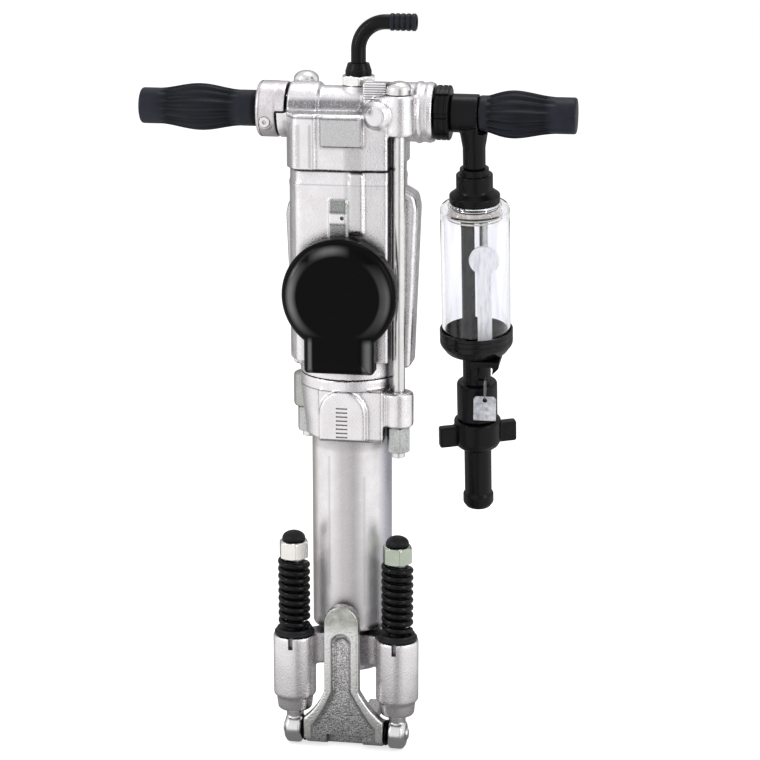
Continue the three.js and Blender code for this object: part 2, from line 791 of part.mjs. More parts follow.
// Keyhole outline of the muffler, drawn in all round by the given amount
function keyhole(inset, chamfer = edgeRound) {
  const radius = mufflerRadius - inset;
  const half = mufflerStemHalf - inset;
  const foot = mufflerFoot + inset;
  const meet = Math.asin(half / radius);
  const shape = new THREE.Shape();
  shape.moveTo(chamfer - half, foot);
  shape.lineTo(half - chamfer, foot);
  if (chamfer > 0) shape.lineTo(half, foot + chamfer);
  shape.absarc(0, mufflerCentre, radius, meet - Math.PI / 2, 1.5 * Math.PI - meet, false);
  if (chamfer > 0) shape.lineTo(-half, foot + chamfer);
  shape.closePath();
  return shape;
}
function mufflerCover() {
  const outer = frontPlate(keyhole(0), -mufflerFront, -mufflerBack, 0, 14);
  const rounded = frontPlate(keyhole(0, 0), -mufflerFront, -mufflerBack + mufflerRound, mufflerRound, 14);
  const hollow = frontPlate(keyhole(mufflerWall), -mufflerFront + mufflerWall, -mufflerBack + cutOverrun, 0, 12);
  const outletHalf = mufflerStemHalf - mufflerOutletSideMargin;
  const outletBack = -mufflerSeatFront - fitGap;
  const outlet = block(-outletHalf, outletHalf, outletBack - mufflerOutletHeight, outletBack,
    mufflerFoot - cutOverrun, mufflerFoot + mufflerWall + cutOverrun);
  return cut(outer.intersect(rounded), hollow, outlet);
}

// Rear head: skirt, handle barrel, rod lugs, flat pad, inlet boss and their passages
function rearHead() {
  const spigot = turnedZ(rodProfile(cylinderBoreRadius - fitGap, spigotBottom, jointHeight + edgeRound), largeSides);
  const skirt = raised(bodyPlan(rearSkirtGrow, skirtColumnProud), jointHeight, jointHeight + rearSkirtHeight, edgeRound / 2);
  const barrel = turnedX([
    [0, -rearBarrelLeft], [rearBarrelRadius - edgeRound, -rearBarrelLeft], [rearBarrelRadius, edgeRound - rearBarrelLeft],
    [rearBarrelRadius, -rearBarrelStep], [rearBarrelSlimRadius, edgeRound - rearBarrelStep],
    [rearBarrelSlimRadius, inletBossLeft], [inletBossRadius, inletBossLeft + edgeRound],
    [inletBossRadius, rearBarrelRight], [0, rearBarrelRight],
  ], barrelSides);
  const ridgeLeft = rearBarrelRight - inletRidgeOffset - 3 * inletRidgeWidth;
  const ridge = turnedX(rodProfile(inletBossRadius + inletRidgeProud, ridgeLeft, ridgeLeft + inletRidgeWidth), barrelSides);
  const turret = raised(outline([
    [turretLeft, -turretDepthFront], [turretLeft + turretWidth, -turretDepthFront],
    [turretLeft + turretWidth, turretDepthBack], [turretLeft, turretDepthBack],
  ]), jointHeight + rearSkirtHeight / 2, barrelCrown, edgeRound);
  const turretBlock = block(turretLeft, turretLeft + turretWidth, -turretDepthFront, -turretBlockBack,
    handleHeight, barrelCrown + turretBlockRise);
  const turretDome = moved(turnedY([
    [0, -turretDepthFront - turretDomeProud], [turretDomeRadius / 2, edgeRound / 2 - turretDepthFront - turretDomeProud],
    [turretDomeRadius - edgeRound, turretDomeProud / -2 - turretDepthFront], [turretDomeRadius, -turretDepthFront],
    [turretDomeRadius, 0], [0, 0],
  ], plainSides), turretDomeX, 0, handleHeight + turretDomeRise);
  const dogRoom = moved(turnedX(rodProfile(throttleCollarRadius + slideGap, -throttleCollarLeft,
    dogLength + slideGap - throttleCollarRight)), 0, 0, handleHeight);
  const lugs = rodPlaces.map(([, x, y]) => {
    const radius = x < 0 ? rearBackLugRadius : rearLugRadius;
    return cut(rodLug(x, y, radius, rearLugTop - rearLugHeight, rearLugTop, bodyFront / 2), dogRoom);
  });
  const pad = frontPlate(outline([
    [-padHalfWidth, handleHeight - padBottomDrop], [padHalfWidth, handleHeight - padBottomDrop],
    [padHalfWidth, handleHeight - padTopDrop], [-padHalfWidth, handleHeight - padTopDrop],
  ]), -padFront, padBevel - bodyFront / 2, padBevel);
  const waterSeat = turnedZ(rodProfile(waterBushAcrossFlats / 2, handleHeight, barrelCrown), plainSides);
  const outside = join(spigot, skirt, moved(barrel, 0, 0, handleHeight), moved(ridge, 0, 0, handleHeight), turret,
    turretBlock, turretDome, pad, headDog(), moved(waterSeat, waterOffset, 0, 0), ...lugs);
  const holes = rodPlaces.flatMap(([, x, y]) => [rodHole(x, y, jointHeight, rearLugTop), headRoom(x, y)]);
  return cut(outside, ...headPassages(), ...holes);
}
function headRoom(x, y) {
  const room = turnedZ(rodProfile(rodDomeRadius + fitGap, rearLugTop, barrelCrown + rearBarrelRadius), plainSides);
  return moved(room, x, y, 0);
}
function headDog() {
  const sector = ringSector(rearBarrelRadius - dogWallThickness, rearBarrelRadius, halfTurn, halfTurn + headDogDegrees);
  const left = -rearBarrelLeft - dogLength - fitGap;
  return moved(sidePlate(sector, left, -rearBarrelLeft + edgeRound + cutOverrun, 0, 10), 0, 0, handleHeight);
}
function headPassages() {
  const throttle = turnedX(rodProfile(throttleBoreRadius, -rearBarrelLeft - cutOverrun, -throttleBoreEnd));
  const inlet = turnedX(rodProfile(inletBoreRadius, inletBoreEnd, rearBarrelRight + cutOverrun));
  const link = turnedX(rodProfile(airPassageRadius, -throttleBoreEnd - cutOverrun, inletBoreEnd + cutOverrun), smallSides);
  const down = turnedZ(rodProfile(downPortRadius, spigotBottom - cutOverrun, handleHeight), smallSides);
  const chamber = turnedZ(rodProfile(waterChamberRadius, waterTubeTop - waterTubeHeadHeight - waterSealHeight,
    waterTubeTop + waterChamberHeight), smallSides);
  const waterTubeHole = turnedZ(rodProfile(waterTubeRadius + fitGap, spigotBottom - cutOverrun, handleHeight), smallSides);
  const bush = turnedZ(rodProfile(waterBushSpigotRadius + fitGap, barrelCrown - waterBushSpigotDepth - fitGap,
    barrelCrown + cutOverrun));
  const bushRoom = turnedZ(rodProfile(waterBushAcrossFlats / Math.sqrt(3) + slideGap * 2, barrelCrown,
    barrelCrown + rearBarrelRadius));
  const pawlRelief = turnedZ(rodProfile(rifleNeckRadius, spigotBottom - cutOverrun, spigotBottom + spigotHeight / 2), smallSides);
  return [
    moved(throttle, 0, 0, handleHeight), moved(inlet, 0, 0, handleHeight),
    moved(link, 0, airPassageBack, handleHeight), moved(down, -downPortOffset, 0, 0),
    chamber, waterTubeHole, moved(bush, waterOffset, 0, 0), moved(bushRoom, waterOffset, 0, 0), pawlRelief,
  ];
}

// Side rods with domed heads, and their hexagon nuts under the front head
for (const [end, x, y] of rodPlaces) {
  const lugBottom = flangeTop - rodLugFootHeight;
  const nutTop = lugBottom - fitGap;
  const nutBottom = nutTop - rodNutHeight;
  const headBase = rearLugTop + fitGap;
  const rod = turnedZ([
    [0, nutBottom - rodThreadBelowNut], [rodRadius, nutBottom - rodThreadBelowNut], [rodRadius, headBase],
    [rodDomeRadius, headBase], [rodDomeRadius, headBase + rodDomeHeight / 4],
    [rodDomeRadius * Math.cos(Math.PI / 4), headBase + rodDomeHeight * Math.sin(Math.PI / 3)],
    [0, headBase + rodDomeHeight],
  ], smallSides);
  place("side_rod_" + end, moved(rod, x, y, 0), machinedSteel());
  const nut = hexNut(rodNutAcrossFlats, rodRadius + fitGap, nutBottom, nutTop).rotate([0, 0, halfTurn / 6]);
  place("side_rod_nut_" + end, moved(nut, x, y, 0), forgedSteel());
}
place("front_head", frontHead(), castSilver());
place("cylinder", cylinder(), castSilver());
place("muffler_cover", mufflerCover(), glossBlack());
place("rear_head", rearHead(), castSilver());

// Water inlet: hexagon bush, gland nut, swivelling elbow with its hose ferrule, and the long water tube
const bushTop = barrelCrown + fitGap + waterBushHeight;
const waterBush = join(
  raised(hexShape(waterBushAcrossFlats), barrelCrown + fitGap, bushTop),
  turnedZ(rodProfile(waterBushSpigotRadius, barrelCrown - waterBushSpigotDepth, bushTop)),
);
const waterBore = turnedZ(rodProfile(waterBoreRadius, barrelCrown - waterBushSpigotDepth - cutOverrun,
  bushTop + cutOverrun), smallSides);
place("water_inlet_bush", moved(cut(waterBush, waterBore), waterOffset, 0, 0), machinedSteel());

const glandBottom = bushTop + fitGap;
const glandTop = glandBottom + waterGlandHeight;
const elbowFoot = glandBottom + elbowCollarHeight;
const gland = turnedZ([
  [elbowRadius + slideGap, glandBottom], [waterGlandRadius, glandBottom],
  [waterGlandRadius, glandTop - waterGlandHeight / 3], [waterGlandTopRadius, glandTop],
  [elbowRadius + slideGap, glandTop], [elbowRadius + slideGap, glandBottom],
], plainSides);
const glandSeat = turnedZ(rodProfile(elbowCollarRadius + slideGap, glandBottom - cutOverrun,
  elbowFoot + elbowCollarHeight));
place("water_gland_nut", moved(cut(gland, glandSeat), waterOffset, 0, 0), blackPaint());

class ElbowPath extends THREE.Curve {
  constructor(bottom, bendHeight, bendRadius, reach) {
    super();
    const straight = bendHeight - bendRadius - bottom;
    const arc = (bendRadius * Math.PI) / 2;
    Object.assign(this, { bottom, bendHeight, bendRadius, straight, arc, total: straight + arc + reach - bendRadius });
  }
  getPoint(t, target = new THREE.Vector3()) {
    const along = t * this.total;
    if (along <= this.straight) return target.set(0, 0, this.bottom + along);
    const turn = (along - this.straight) / this.bendRadius;
    if (along <= this.straight + this.arc) {
      return target.set(this.bendRadius * (1 - Math.cos(turn)), 0,
        this.bendHeight - this.bendRadius * (1 - Math.sin(turn)));
    }
    return target.set(this.bendRadius + along - this.straight - this.arc, 0, this.bendHeight);
  }
}
function pipeAlong(path, outer, inner, steps, sides) {
  const ring = (radius) => [...Array(sides).keys()].map((k) => {
    const angle = (2 * Math.PI * k) / sides;
    return new THREE.Vector2(radius * Math.cos(angle), radius * Math.sin(angle));
  });
  const section = new THREE.Shape(ring(outer));
  if (inner > 0) section.holes.push(new THREE.Path(ring(inner)));
  return solid(new THREE.ExtrudeGeometry(section, { steps, bevelEnabled: false, extrudePath: path }));
}
const elbowPath = new ElbowPath(glandBottom, elbowBendHeight, elbowBendRadius, elbowReach);
const elbowPipe = pipeAlong(elbowPath, elbowRadius, elbowBoreRadius, elbowSteps, smallSides);
const elbowCollar = turnedZ(ringProfile(elbowBoreRadius + slideGap, elbowCollarRadius, glandBottom, elbowFoot));
place("water_elbow", moved(join(elbowPipe, elbowCollar), waterOffset, 0, 0), blackPaint());
const ferruleStart = elbowReach - ferruleLength / 2;
const ferrule = turnedX(ringProfile(elbowRadius + slideGap, ferruleRadius, ferruleStart, elbowReach - fitGap), smallSides);
const ferruleEnd = turnedX(ringProfile(elbowBoreRadius, ferruleRadius, elbowReach + fitGap,
  ferruleStart + ferruleLength), smallSides);
const ferruleBand = turnedX(ringProfile(elbowRadius + slideGap, ferruleRadius, elbowReach - 2 * fitGap,
  elbowReach + 2 * fitGap), smallSides);
place("hose_ferrule", moved(join(ferrule, ferruleBand, ferruleEnd), waterOffset, 0, elbowBendHeight), blackRubber());

const waterTube = turnedZ([
  [waterTubeBoreRadius, waterTubeFoot], [waterTubeRadius, waterTubeFoot], [waterTubeRadius, waterTubeTop - waterTubeHeadHeight],
  [waterTubeHeadRadius, waterTubeTop - waterTubeHeadHeight], [waterTubeHeadRadius, waterTubeTop],
  [waterTubeBoreRadius, waterTubeTop], [waterTubeBoreRadius, waterTubeFoot],
], tinySides);
place("water_tube", waterTube, machinedSteel());
const sealBottom = waterTubeTop - waterTubeHeadHeight - waterSealHeight + fitGap;
const waterSeal = turnedZ(ringProfile(waterTubeRadius + fitGap, waterChamberRadius - fitGap, sealBottom,
  sealBottom + waterSealHeight - 2 * fitGap), smallSides);
place("water_tube_seal", waterSeal, blackRubber());

// Throttle: valve tube in the rear head, twist collar with its stop dog and pinch screw, rubber grip
const throttle = new THREE.Group();
throttle.position.z = handleHeight;
drill.add(throttle);
const collarRadiusInner = gripCoreRadius + fitGap;
function throttleTube() {
  const tube = turnedX([
    [0, gripCoreEndInset - leftGripEnd], [gripCoreRadius, gripCoreEndInset - leftGripEnd],
    [gripCoreRadius, -throttleCollarRight + fitGap], [gripCoreRadius, -rearBarrelLeft - edgeRound],
    [throttleTubeRadius, -rearBarrelLeft + edgeRound], [throttleTubeRadius, -throttleBoreEnd - slideGap],
    [0, -throttleBoreEnd - slideGap],
  ]);
  const bore = turnedX(rodProfile(throttleTubeBoreRadius, -rearBarrelLeft + castRound, -throttleBoreEnd + cutOverrun));
  const window = block(-downPortOffset - throttleWindowWidth / 2, -downPortOffset + throttleWindowWidth / 2,
    -throttleWindowWidth / 2, throttleWindowWidth / 2, -throttleTubeRadius - cutOverrun, 0);
  return cut(tube, bore, window);
}
function throttleCollar() {
  const ring = turnedX([
    [collarRadiusInner, -throttleCollarLeft], [throttleCollarRadius - throttleCollarRound, -throttleCollarLeft],
    [throttleCollarRadius, throttleCollarRound - throttleCollarLeft], [throttleCollarRadius, -throttleCollarRight],
    [collarRadiusInner, -throttleCollarRight], [collarRadiusInner, -throttleCollarLeft],
  ]);
  const sector = ringSector(throttleCollarRadius - dogWallThickness, throttleCollarRadius - fitGap,
    halfTurn - throttleDogDegrees, halfTurn - dogGap * 2);
  const dog = sidePlate(sector, -throttleCollarRight - edgeRound, -throttleCollarRight + dogLength, 0, 10);
  const screwFront = collarScrewBack - throttleCollarRadius;
  const screwHole = turnedY([
    [0, -throttleCollarRadius - cutOverrun], [collarScrewRadius + fitGap, -throttleCollarRadius - cutOverrun],
    [collarScrewRadius + fitGap, screwFront], [collarScrewShankRadius + fitGap, screwFront],
    [collarScrewShankRadius + fitGap, screwFront + collarScrewDepth], [0, screwFront + collarScrewDepth],
  ], smallSides);
  return cut(join(ring, dog), moved(screwHole, collarScrewX, 0, -collarScrewDrop));
}
const collarScrewX = -(throttleCollarLeft + throttleCollarRight) / 2;
function collarScrew() {
  const seat = collarScrewBack - throttleCollarRadius - fitGap;
  const front = seat - collarScrewBack / 2 - collarScrewHeadHeight;
  const body = turnedY([
    [0, front], [collarScrewRadius - edgeRound / 2, front], [collarScrewRadius, front + edgeRound / 2],
    [collarScrewRadius, seat], [collarScrewShankRadius, seat], [collarScrewShankRadius, seat + collarScrewDepth - fitGap],
    [0, seat + collarScrewDepth - fitGap],
  ], smallSides);
  return moved(body, collarScrewX, 0, -collarScrewDrop);
}

// A barrel-shaped rubber grip along X with round flutes that fade out before its plain ends
function grip(left, right, lead, skewShare, boreRadius, boreLeft, boreRight) {
  const sides = gripFluteCount * 2;
  const rings = [];
  const addRing = (x, radius, flute) => rings.push([...Array(sides).keys()].map((k) => {
    const angle = (2 * Math.PI * k) / sides;
    const r = radius - (k % 2) * flute;
    return new THREE.Vector3(x, r * Math.cos(angle), r * Math.sin(angle));
  }));
  addRing(left, gripEndRadius - edgeRound / 2, 0);
  addRing(left + edgeRound / 2, gripEndRadius, 0);
  for (let k = 0; k < gripRingCount; k += 1) {
    const share = k / (gripRingCount - 1);
    const swell = Math.sin(Math.PI * share ** skewShare);
    const from = left + lead;
    const radius = gripEndRadius + (gripBulgeRadius - gripEndRadius) * swell * swell;
    addRing(from + (right - gripPlainEndLength - from) * share, radius, gripFluteDepth * Math.min(1, 2 * swell));
  }
  addRing(right - edgeRound / 2, gripEndRadius, 0);
  addRing(right, gripEndRadius - edgeRound / 2, 0);
  return cut(skinned(rings), turnedX(rodProfile(boreRadius, boreLeft, boreRight)));
}
place("throttle_tube", throttleTube(), machinedSteel(), throttle);
place("throttle_collar", throttleCollar(), pinkCast(), throttle);
place("collar_screw", collarScrew(), machinedSteel(), throttle);
place("left_grip", grip(-leftGripEnd, -throttleCollarLeft - fitGap, gripPlainEndLength,
  leftGripSkewShare, gripCoreRadius + fitGap,
  gripCoreEndInset - leftGripEnd - fitGap, cutOverrun - throttleCollarLeft), blackRubber(), throttle);

// Air inlet: ring nut on the rear head, then everything that swivels about the handle axis with the oiler
const inletRingNut = (() => {
  const ring = turnedX([
    [ringNutBoreRadius, ringNutLeft], [ringNutRadius - edgeRound, ringNutLeft],
    [ringNutRadius, ringNutLeft + edgeRound], [ringNutRadius, ringNutRight - edgeRound],
    [ringNutRadius - edgeRound, ringNutRight], [ringNutBoreRadius, ringNutRight], [ringNutBoreRadius, ringNutLeft],
  ]);
  const notches = [...Array(ringNutNotchCount).keys()].map((k) => {
    const notch = block(ringNutLeft - cutOverrun, ringNutRight + cutOverrun, -ringNutNotchWidth / 2,
      ringNutNotchWidth / 2, ringNutRadius - ringNutNotchDepth, ringNutRadius + cutOverrun);
    return notch.rotate([(360 * k) / ringNutNotchCount, 0, 0]);
  });
  const flangeRoom = turnedX(rodProfile(swivelFlangeRadius + slideGap, ringNutLeft - cutOverrun,
    ringNutLeft + swivelFlangeWidth + 2 * slideGap));
  return cut(ring, flangeRoom, ...notches);
})();
place("inlet_ring_nut", moved(inletRingNut, 0, 0, handleHeight), blackPaint());

const swivel = new THREE.Group();
swivel.position.z = handleHeight;
swivel.rotation.x = radians(oilerLeanDegrees);
drill.add(swivel);

function swivelTee() {
  const along = turnedX([
    [0, swivelSpigotEnd], [swivelSpigotRadius, swivelSpigotEnd], [swivelSpigotRadius, ringNutLeft + slideGap],
    [swivelFlangeRadius, ringNutLeft + slideGap], [swivelFlangeRadius, ringNutLeft + swivelFlangeWidth],
    [ringNutBoreRadius - slideGap, ringNutLeft + swivelFlangeWidth], [ringNutBoreRadius - slideGap, ringNutRight + slideGap],
    [swivelBodyRadius, ringNutRight + slideGap], [swivelBodyRadius, rightGripStart - fitGap],
    [gripCoreRadius, rightGripStart - fitGap], [gripCoreRadius, rightGripEnd - gripCoreEndInset],
    [0, rightGripEnd - gripCoreEndInset],
  ], plainSides);
  const branch = turnedZ([
    [0, -oilerNeckTop - fitGap], [branchRadius, -oilerNeckTop - fitGap], [branchRadius, -swivelBodyRadius * 2],
    [branchTopRadius, -swivelBodyRadius / 2], [0, -swivelBodyRadius / 2],
  ], plainSides);
  const gripRoom = block(rightGripStart - fitGap - branchOffset, branchTopRadius + cutOverrun, -branchTopRadius * 2,
    branchTopRadius * 2, -gripEndRadius - slideGap, 0);
  const airAlong = turnedX(rodProfile(swivelAirBoreRadius, swivelSpigotEnd - cutOverrun, branchOffset));
  const airDown = turnedZ(rodProfile(branchBoreRadius, -oilerNeckTop - cutOverrun, 0), smallSides);
  return cut(join(along, moved(cut(branch, gripRoom), branchOffset, 0, 0)), airAlong, moved(airDown, branchOffset, 0, 0));
}
// The rubber of the right grip ends round the branch, so its inner end is bare of flutes there
place("swivel_tee", swivelTee(), blackPaint(), swivel);
place("right_grip", grip(rightGripStart, rightGripEnd, rightGripLead, rightGripSkewShare, gripCoreRadius + fitGap,
  rightGripStart - cutOverrun, rightGripEnd - gripCoreEndInset + fitGap), blackRubber(), swivel);

// Oiler pieces hang below the branch on their own axis
const oiler = new THREE.Group();
oiler.position.x = branchOffset;
swivel.add(oiler);

function oilerTopCap() {
  const cap = turnedZ([
    [branchBoreRadius, -oilerNeckTop - 2 * fitGap], [oilerNeckRadius, -oilerNeckTop - 2 * fitGap],
    [oilerNeckRadius, -oilerShoulderTop], [oilerShoulderRadius, -oilerShoulderTop],
    [oilerShoulderRadius, -oilerFlareTop], [oilerShoulderRadius + edgeRound, -oilerFlangeTop],
    [oilerFlangeRadius, -oilerFlangeTop], [oilerFlangeRadius, -oilerFlangeBottom],
    [oilerPlugRadius, -oilerFlangeBottom], [oilerPlugRadius, -oilerPlugBottom],
    [branchBoreRadius, -oilerPlugBottom], [branchBoreRadius, -oilerNeckTop - 2 * fitGap],
  ], plainSides);
  const tubeSocket = turnedZ(rodProfile(airTubeRadius + fitGap, -oilerPlugBottom - cutOverrun, edgeRound - oilerPlugBottom), smallSides);
  return cut(cap, moved(tubeSocket, -airTubeOffset, 0, 0));
}
function oilerCup() {
  const inner = cupRadius - cupWall;
  const mouth = oilerPlugRadius + fitGap;
  return turnedZ([
    [mouth, -cupTop], [cupRadius - cupShoulderRound, -cupTop],
    [cupRadius - cupShoulderRound * 0.3, -cupTop - cupShoulderRound * 0.3],
    [cupRadius, -cupTop - cupShoulderRound], [cupRadius, -cupBottom], [inner, -cupBottom],
    [inner, -cupTop - cupShoulderRound - cupBeadDrop], [inner - cupBeadProud, -cupTop - cupShoulderRound],
    [mouth, -cupTop - cupWall - cupBeadProud], [mouth, -cupTop],
  ], barrelSides);
}
function oilerBase() {
  const bowl = turnedZ([
    [0, -baseBottom], [baseBottomRadius, -baseBottom], [baseRadius, -baseFloorTop + edgeRound],
    [baseRadius, -baseRimTop], [baseRadius - baseWall + fitGap, -baseRimTop],
    [baseRadius - baseWall + fitGap, -baseFloorTop], [cupRadius - cupWall - castRound, -baseFloorTop],
    [cupRadius - cupWall - castRound, -baseFloorTop + castRound], [0, -baseFloorTop + castRound],
  ], barrelSides);
  const bore = turnedZ(rodProfile(bodyBoreRadius, -baseBottom - cutOverrun, -baseFloorTop + castRound + cutOverrun));
  return cut(bowl, bore);
}

// Hose connector under the base: neck, round body with the air bore, and the eye plate for the tag
function hoseConnector() {
  const top = -baseBottom - fitGap;
  const neck = turnedZ([
    [0, -bodyBottom], [bodyRadius, -bodyBottom], [bodyRadius, -neckBottom - bodyRound],
    [bodyRadius - bodyRound, -neckBottom], [neckRadius, -neckBottom], [neckRadius, -baseBottom - castRound],
    [neckRadius + castRound, top], [0, top],
  ], plainSides);
  const plateLeft = eyePlateOffset - eyePlateHalf;
  const plateRight = eyePlateOffset + eyePlateHalf;
  const corner = (eyePlateHalf * 2) / 3;
  const plate = frontPlate(outline([
    [plateLeft, top], [plateLeft, corner - eyePlateBottom], [plateLeft + corner / 2, -eyePlateBottom],
    [plateRight - corner, -eyePlateBottom], [plateRight, corner - eyePlateBottom], [plateRight, top],
  ]), -eyePlateFront, eyePlateThickness - eyePlateFront);
  const windowShape = new THREE.Shape();
  windowShape.moveTo(eyePlateOffset - eyeWindowHalf, -eyeWindowTop);
  windowShape.lineTo(eyePlateOffset - eyeWindowHalf, -eyeWindowBottom);
  windowShape.lineTo(eyePlateOffset, -eyeWindowBottom);
  windowShape.quadraticCurveTo(eyePlateOffset + eyeWindowHalf, -eyeWindowBottom,
    eyePlateOffset + eyeWindowHalf, -eyeWindowTop);
  windowShape.closePath();
  const window = frontPlate(windowShape, -eyePlateFront - cutOverrun, eyePlateThickness - eyePlateFront + cutOverrun, 0, 5);
  const bridge = block(plateLeft, plateRight, -eyePlateFront, 0, top - eyePlateThickness, top);
  const bore = turnedZ(rodProfile(bodyBoreRadius, -bodyBottom - cutOverrun, top + cutOverrun));
  return cut(join(neck, bridge, cut(plate, window)), bore);
}
place("oiler_top_cap", oilerTopCap(), blackPaint(), oiler);
place("oiler_cup", oilerCup(), clearPlastic(), oiler);
place("oiler_base", oilerBase(), blackPaint(), oiler);
place("hose_connector", hoseConnector(), blackPaint(), oiler);

const airTubeTop = -oilerPlugBottom - fitGap;
const airTubeBottom = fitGap + castRound - baseFloorTop;
const airTube = turnedZ(ringProfile(airTubeBoreRadius, airTubeRadius, airTubeBottom, airTubeTop), smallSides);
place("oiler_air_tube", moved(airTube, -airTubeOffset, 0, 0), blackPaint(), oiler);

// Oil feed: a flat key with a round head, standing on the base beside the air tube
function feedKey() {
  const centre = -oilerPlugBottom - feedDiscDrop + feedColumnDiscRadius;
  const half = feedStemHalf;
  const meet = Math.asin(half / feedColumnDiscRadius);
  const shape = new THREE.Shape();
  shape.moveTo(-half, airTubeBottom);
  shape.lineTo(half, airTubeBottom);
  shape.absarc(0, centre, feedColumnDiscRadius, meet - Math.PI / 2, 1.5 * Math.PI - meet, false);
  shape.closePath();
  const key = frontPlate(shape, -feedDiscFront, feedDiscThickness - feedDiscFront, 0, 10);
  return moved(key, feedDiscOffsetX, 0, 0);
}
place("oil_feed_key", feedKey(), whitePlastic(), oiler);
const feedColumn = turnedZ(rodProfile(feedColumnRadius, airTubeBottom, airTubeTop), tinySides);
place("oil_feed_tube", moved(feedColumn, feedColumnOffsetX + feedColumnRadius, feedColumnOffsetY, 0), forgedSteel(), oiler);

// Hose end: wing nut, hose tail and the strainer behind it
const wingNutBody = (() => {
  const hub = turnedZ([
    [0, -wingHubBottom], [wingHubFootRadius + fitGap, -wingHubBottom], [wingHubRadius, -wingHubBottom + wingHubChamfer],
    [wingHubRadius, -wingHubTop - edgeRound], [wingHubRadius - edgeRound, -wingHubTop], [0, -wingHubTop],
  ], plainSides);
  const wings = frontPlate(outline([
    [-wingReach, -wingBottom], [wingReach, -wingBottom], [wingReach, -wingTop], [-wingReach, -wingTop],
  ]), -wingThickness / 2, wingThickness / 2, edgeRound).rotate([0, 0, wingTurnDegrees]);
  const bore = turnedZ([
    [0, -wingHubBottom - cutOverrun], [tailRadius + slideGap, -wingHubBottom - cutOverrun],
    [tailRadius + slideGap, -wingHubTop - tailFlangeThickness - slideGap - fitGap],
    [tailFlangeRadius + slideGap, -wingHubTop - tailFlangeThickness - slideGap - fitGap],
    [tailFlangeRadius + slideGap, -wingHubTop + cutOverrun], [0, -wingHubTop + cutOverrun],
  ]);
  return cut(join(hub, wings), bore);
})();
place("wing_nut", wingNutBody, blackPaint(), oiler);
const beadStart = tailEnd - tailBeadLength;
const hoseTail = turnedZ([
  [tailBoreRadius, -tailEnd], [tailRadius - edgeRound, -tailEnd], [tailBeadRadius, edgeRound * 2 - tailEnd],
  [tailBeadRadius, -beadStart - edgeRound], [tailRadius, -beadStart],
  [tailRadius, -wingHubTop - tailFlangeThickness], [tailFlangeRadius, -wingHubTop - tailFlangeThickness],
  [tailFlangeRadius, -wingHubTop - fitGap], [tailBoreRadius, -wingHubTop - fitGap], [tailBoreRadius, -tailEnd],
], plainSides);
place("hose_tail", hoseTail, blackPaint(), oiler);
const strainerBottom = -bodyBottom + fitGap;
const strainer = turnedZ([
  [0, strainerBottom + strainerLength], [strainerRadius, strainerBottom + strainerLength], [strainerRadius, strainerBottom],
  [strainerRadius - strainerWall, strainerBottom], [strainerRadius - strainerWall, strainerBottom + strainerLength - strainerWall],
  [0, strainerBottom + strainerLength - strainerWall],
], smallSides);
place("inlet_strainer", strainer, bronze(), oiler);

// Tag on a wire loop through the eye, hanging straight down
const eyeBarHeight = -(eyeWindowBottom + eyePlateBottom) / 2;
const tagGroup = new THREE.Group();
tagGroup.position.set(eyePlateOffset, -eyePlateFront + eyePlateThickness / 2, eyeBarHeight);
tagGroup.rotation.x = -radians(oilerLeanDegrees);
oiler.add(tagGroup);
const wireTopRise = (eyePlateBottom - eyeWindowBottom) / 2 + wireRadius * 2 + slideGap;
function wireLoop() {
  const straight = wireDrop / 2 - wireHalfDepth;
  const points = [...Array(2 * wireSteps).keys()].map((k) => {
    const turn = (Math.PI * (k + 0.5)) / wireSteps;
    const lift = Math.sign(Math.cos(turn)) * straight;
    return new THREE.Vector3(0, wireHalfDepth * Math.sin(turn),
      wireHalfDepth * Math.cos(turn) + lift + wireTopRise - wireDrop / 2);
  });
  const path = new THREE.CatmullRomCurve3(points, true);
  const ring = [...Array(wireSides).keys()].map((k) => {
    const angle = (2 * Math.PI * k) / wireSides;
    return new THREE.Vector2(wireRadius * Math.cos(angle), wireRadius * Math.sin(angle));
  });
  return solid(new THREE.ExtrudeGeometry(new THREE.Shape(ring), { steps: 2 * wireSteps, bevelEnabled: false, extrudePath: path }));
}
const tagHoleHeight = wireTopRise - wireDrop + wireRadius + slideGap - tagHoleRadius;
function tagPlate() {
  const top = tagHoleHeight + tagHoleDrop;
  const shape = outline([
    [-tagWidth / 2, top - tagHeight], [tagWidth / 2, top - tagHeight], [tagWidth / 2, top - edgeRound],
    [tagWidth / 2 - edgeRound, top], [edgeRound - tagWidth / 2, top], [-tagWidth / 2, top - edgeRound],
  ]);
  const hole = turnedY(rodProfile(tagHoleRadius, -tagThickness * 2, tagThickness * 2), tinySides);
  return cut(frontPlate(shape, -tagThickness / 2, tagThickness / 2), moved(hole, 0, 0, tagHoleHeight));
}
place("tag_wire", wireLoop(), forgedSteel(), tagGroup);
place("tag", tagPlate(), whitePlastic(), tagGroup);

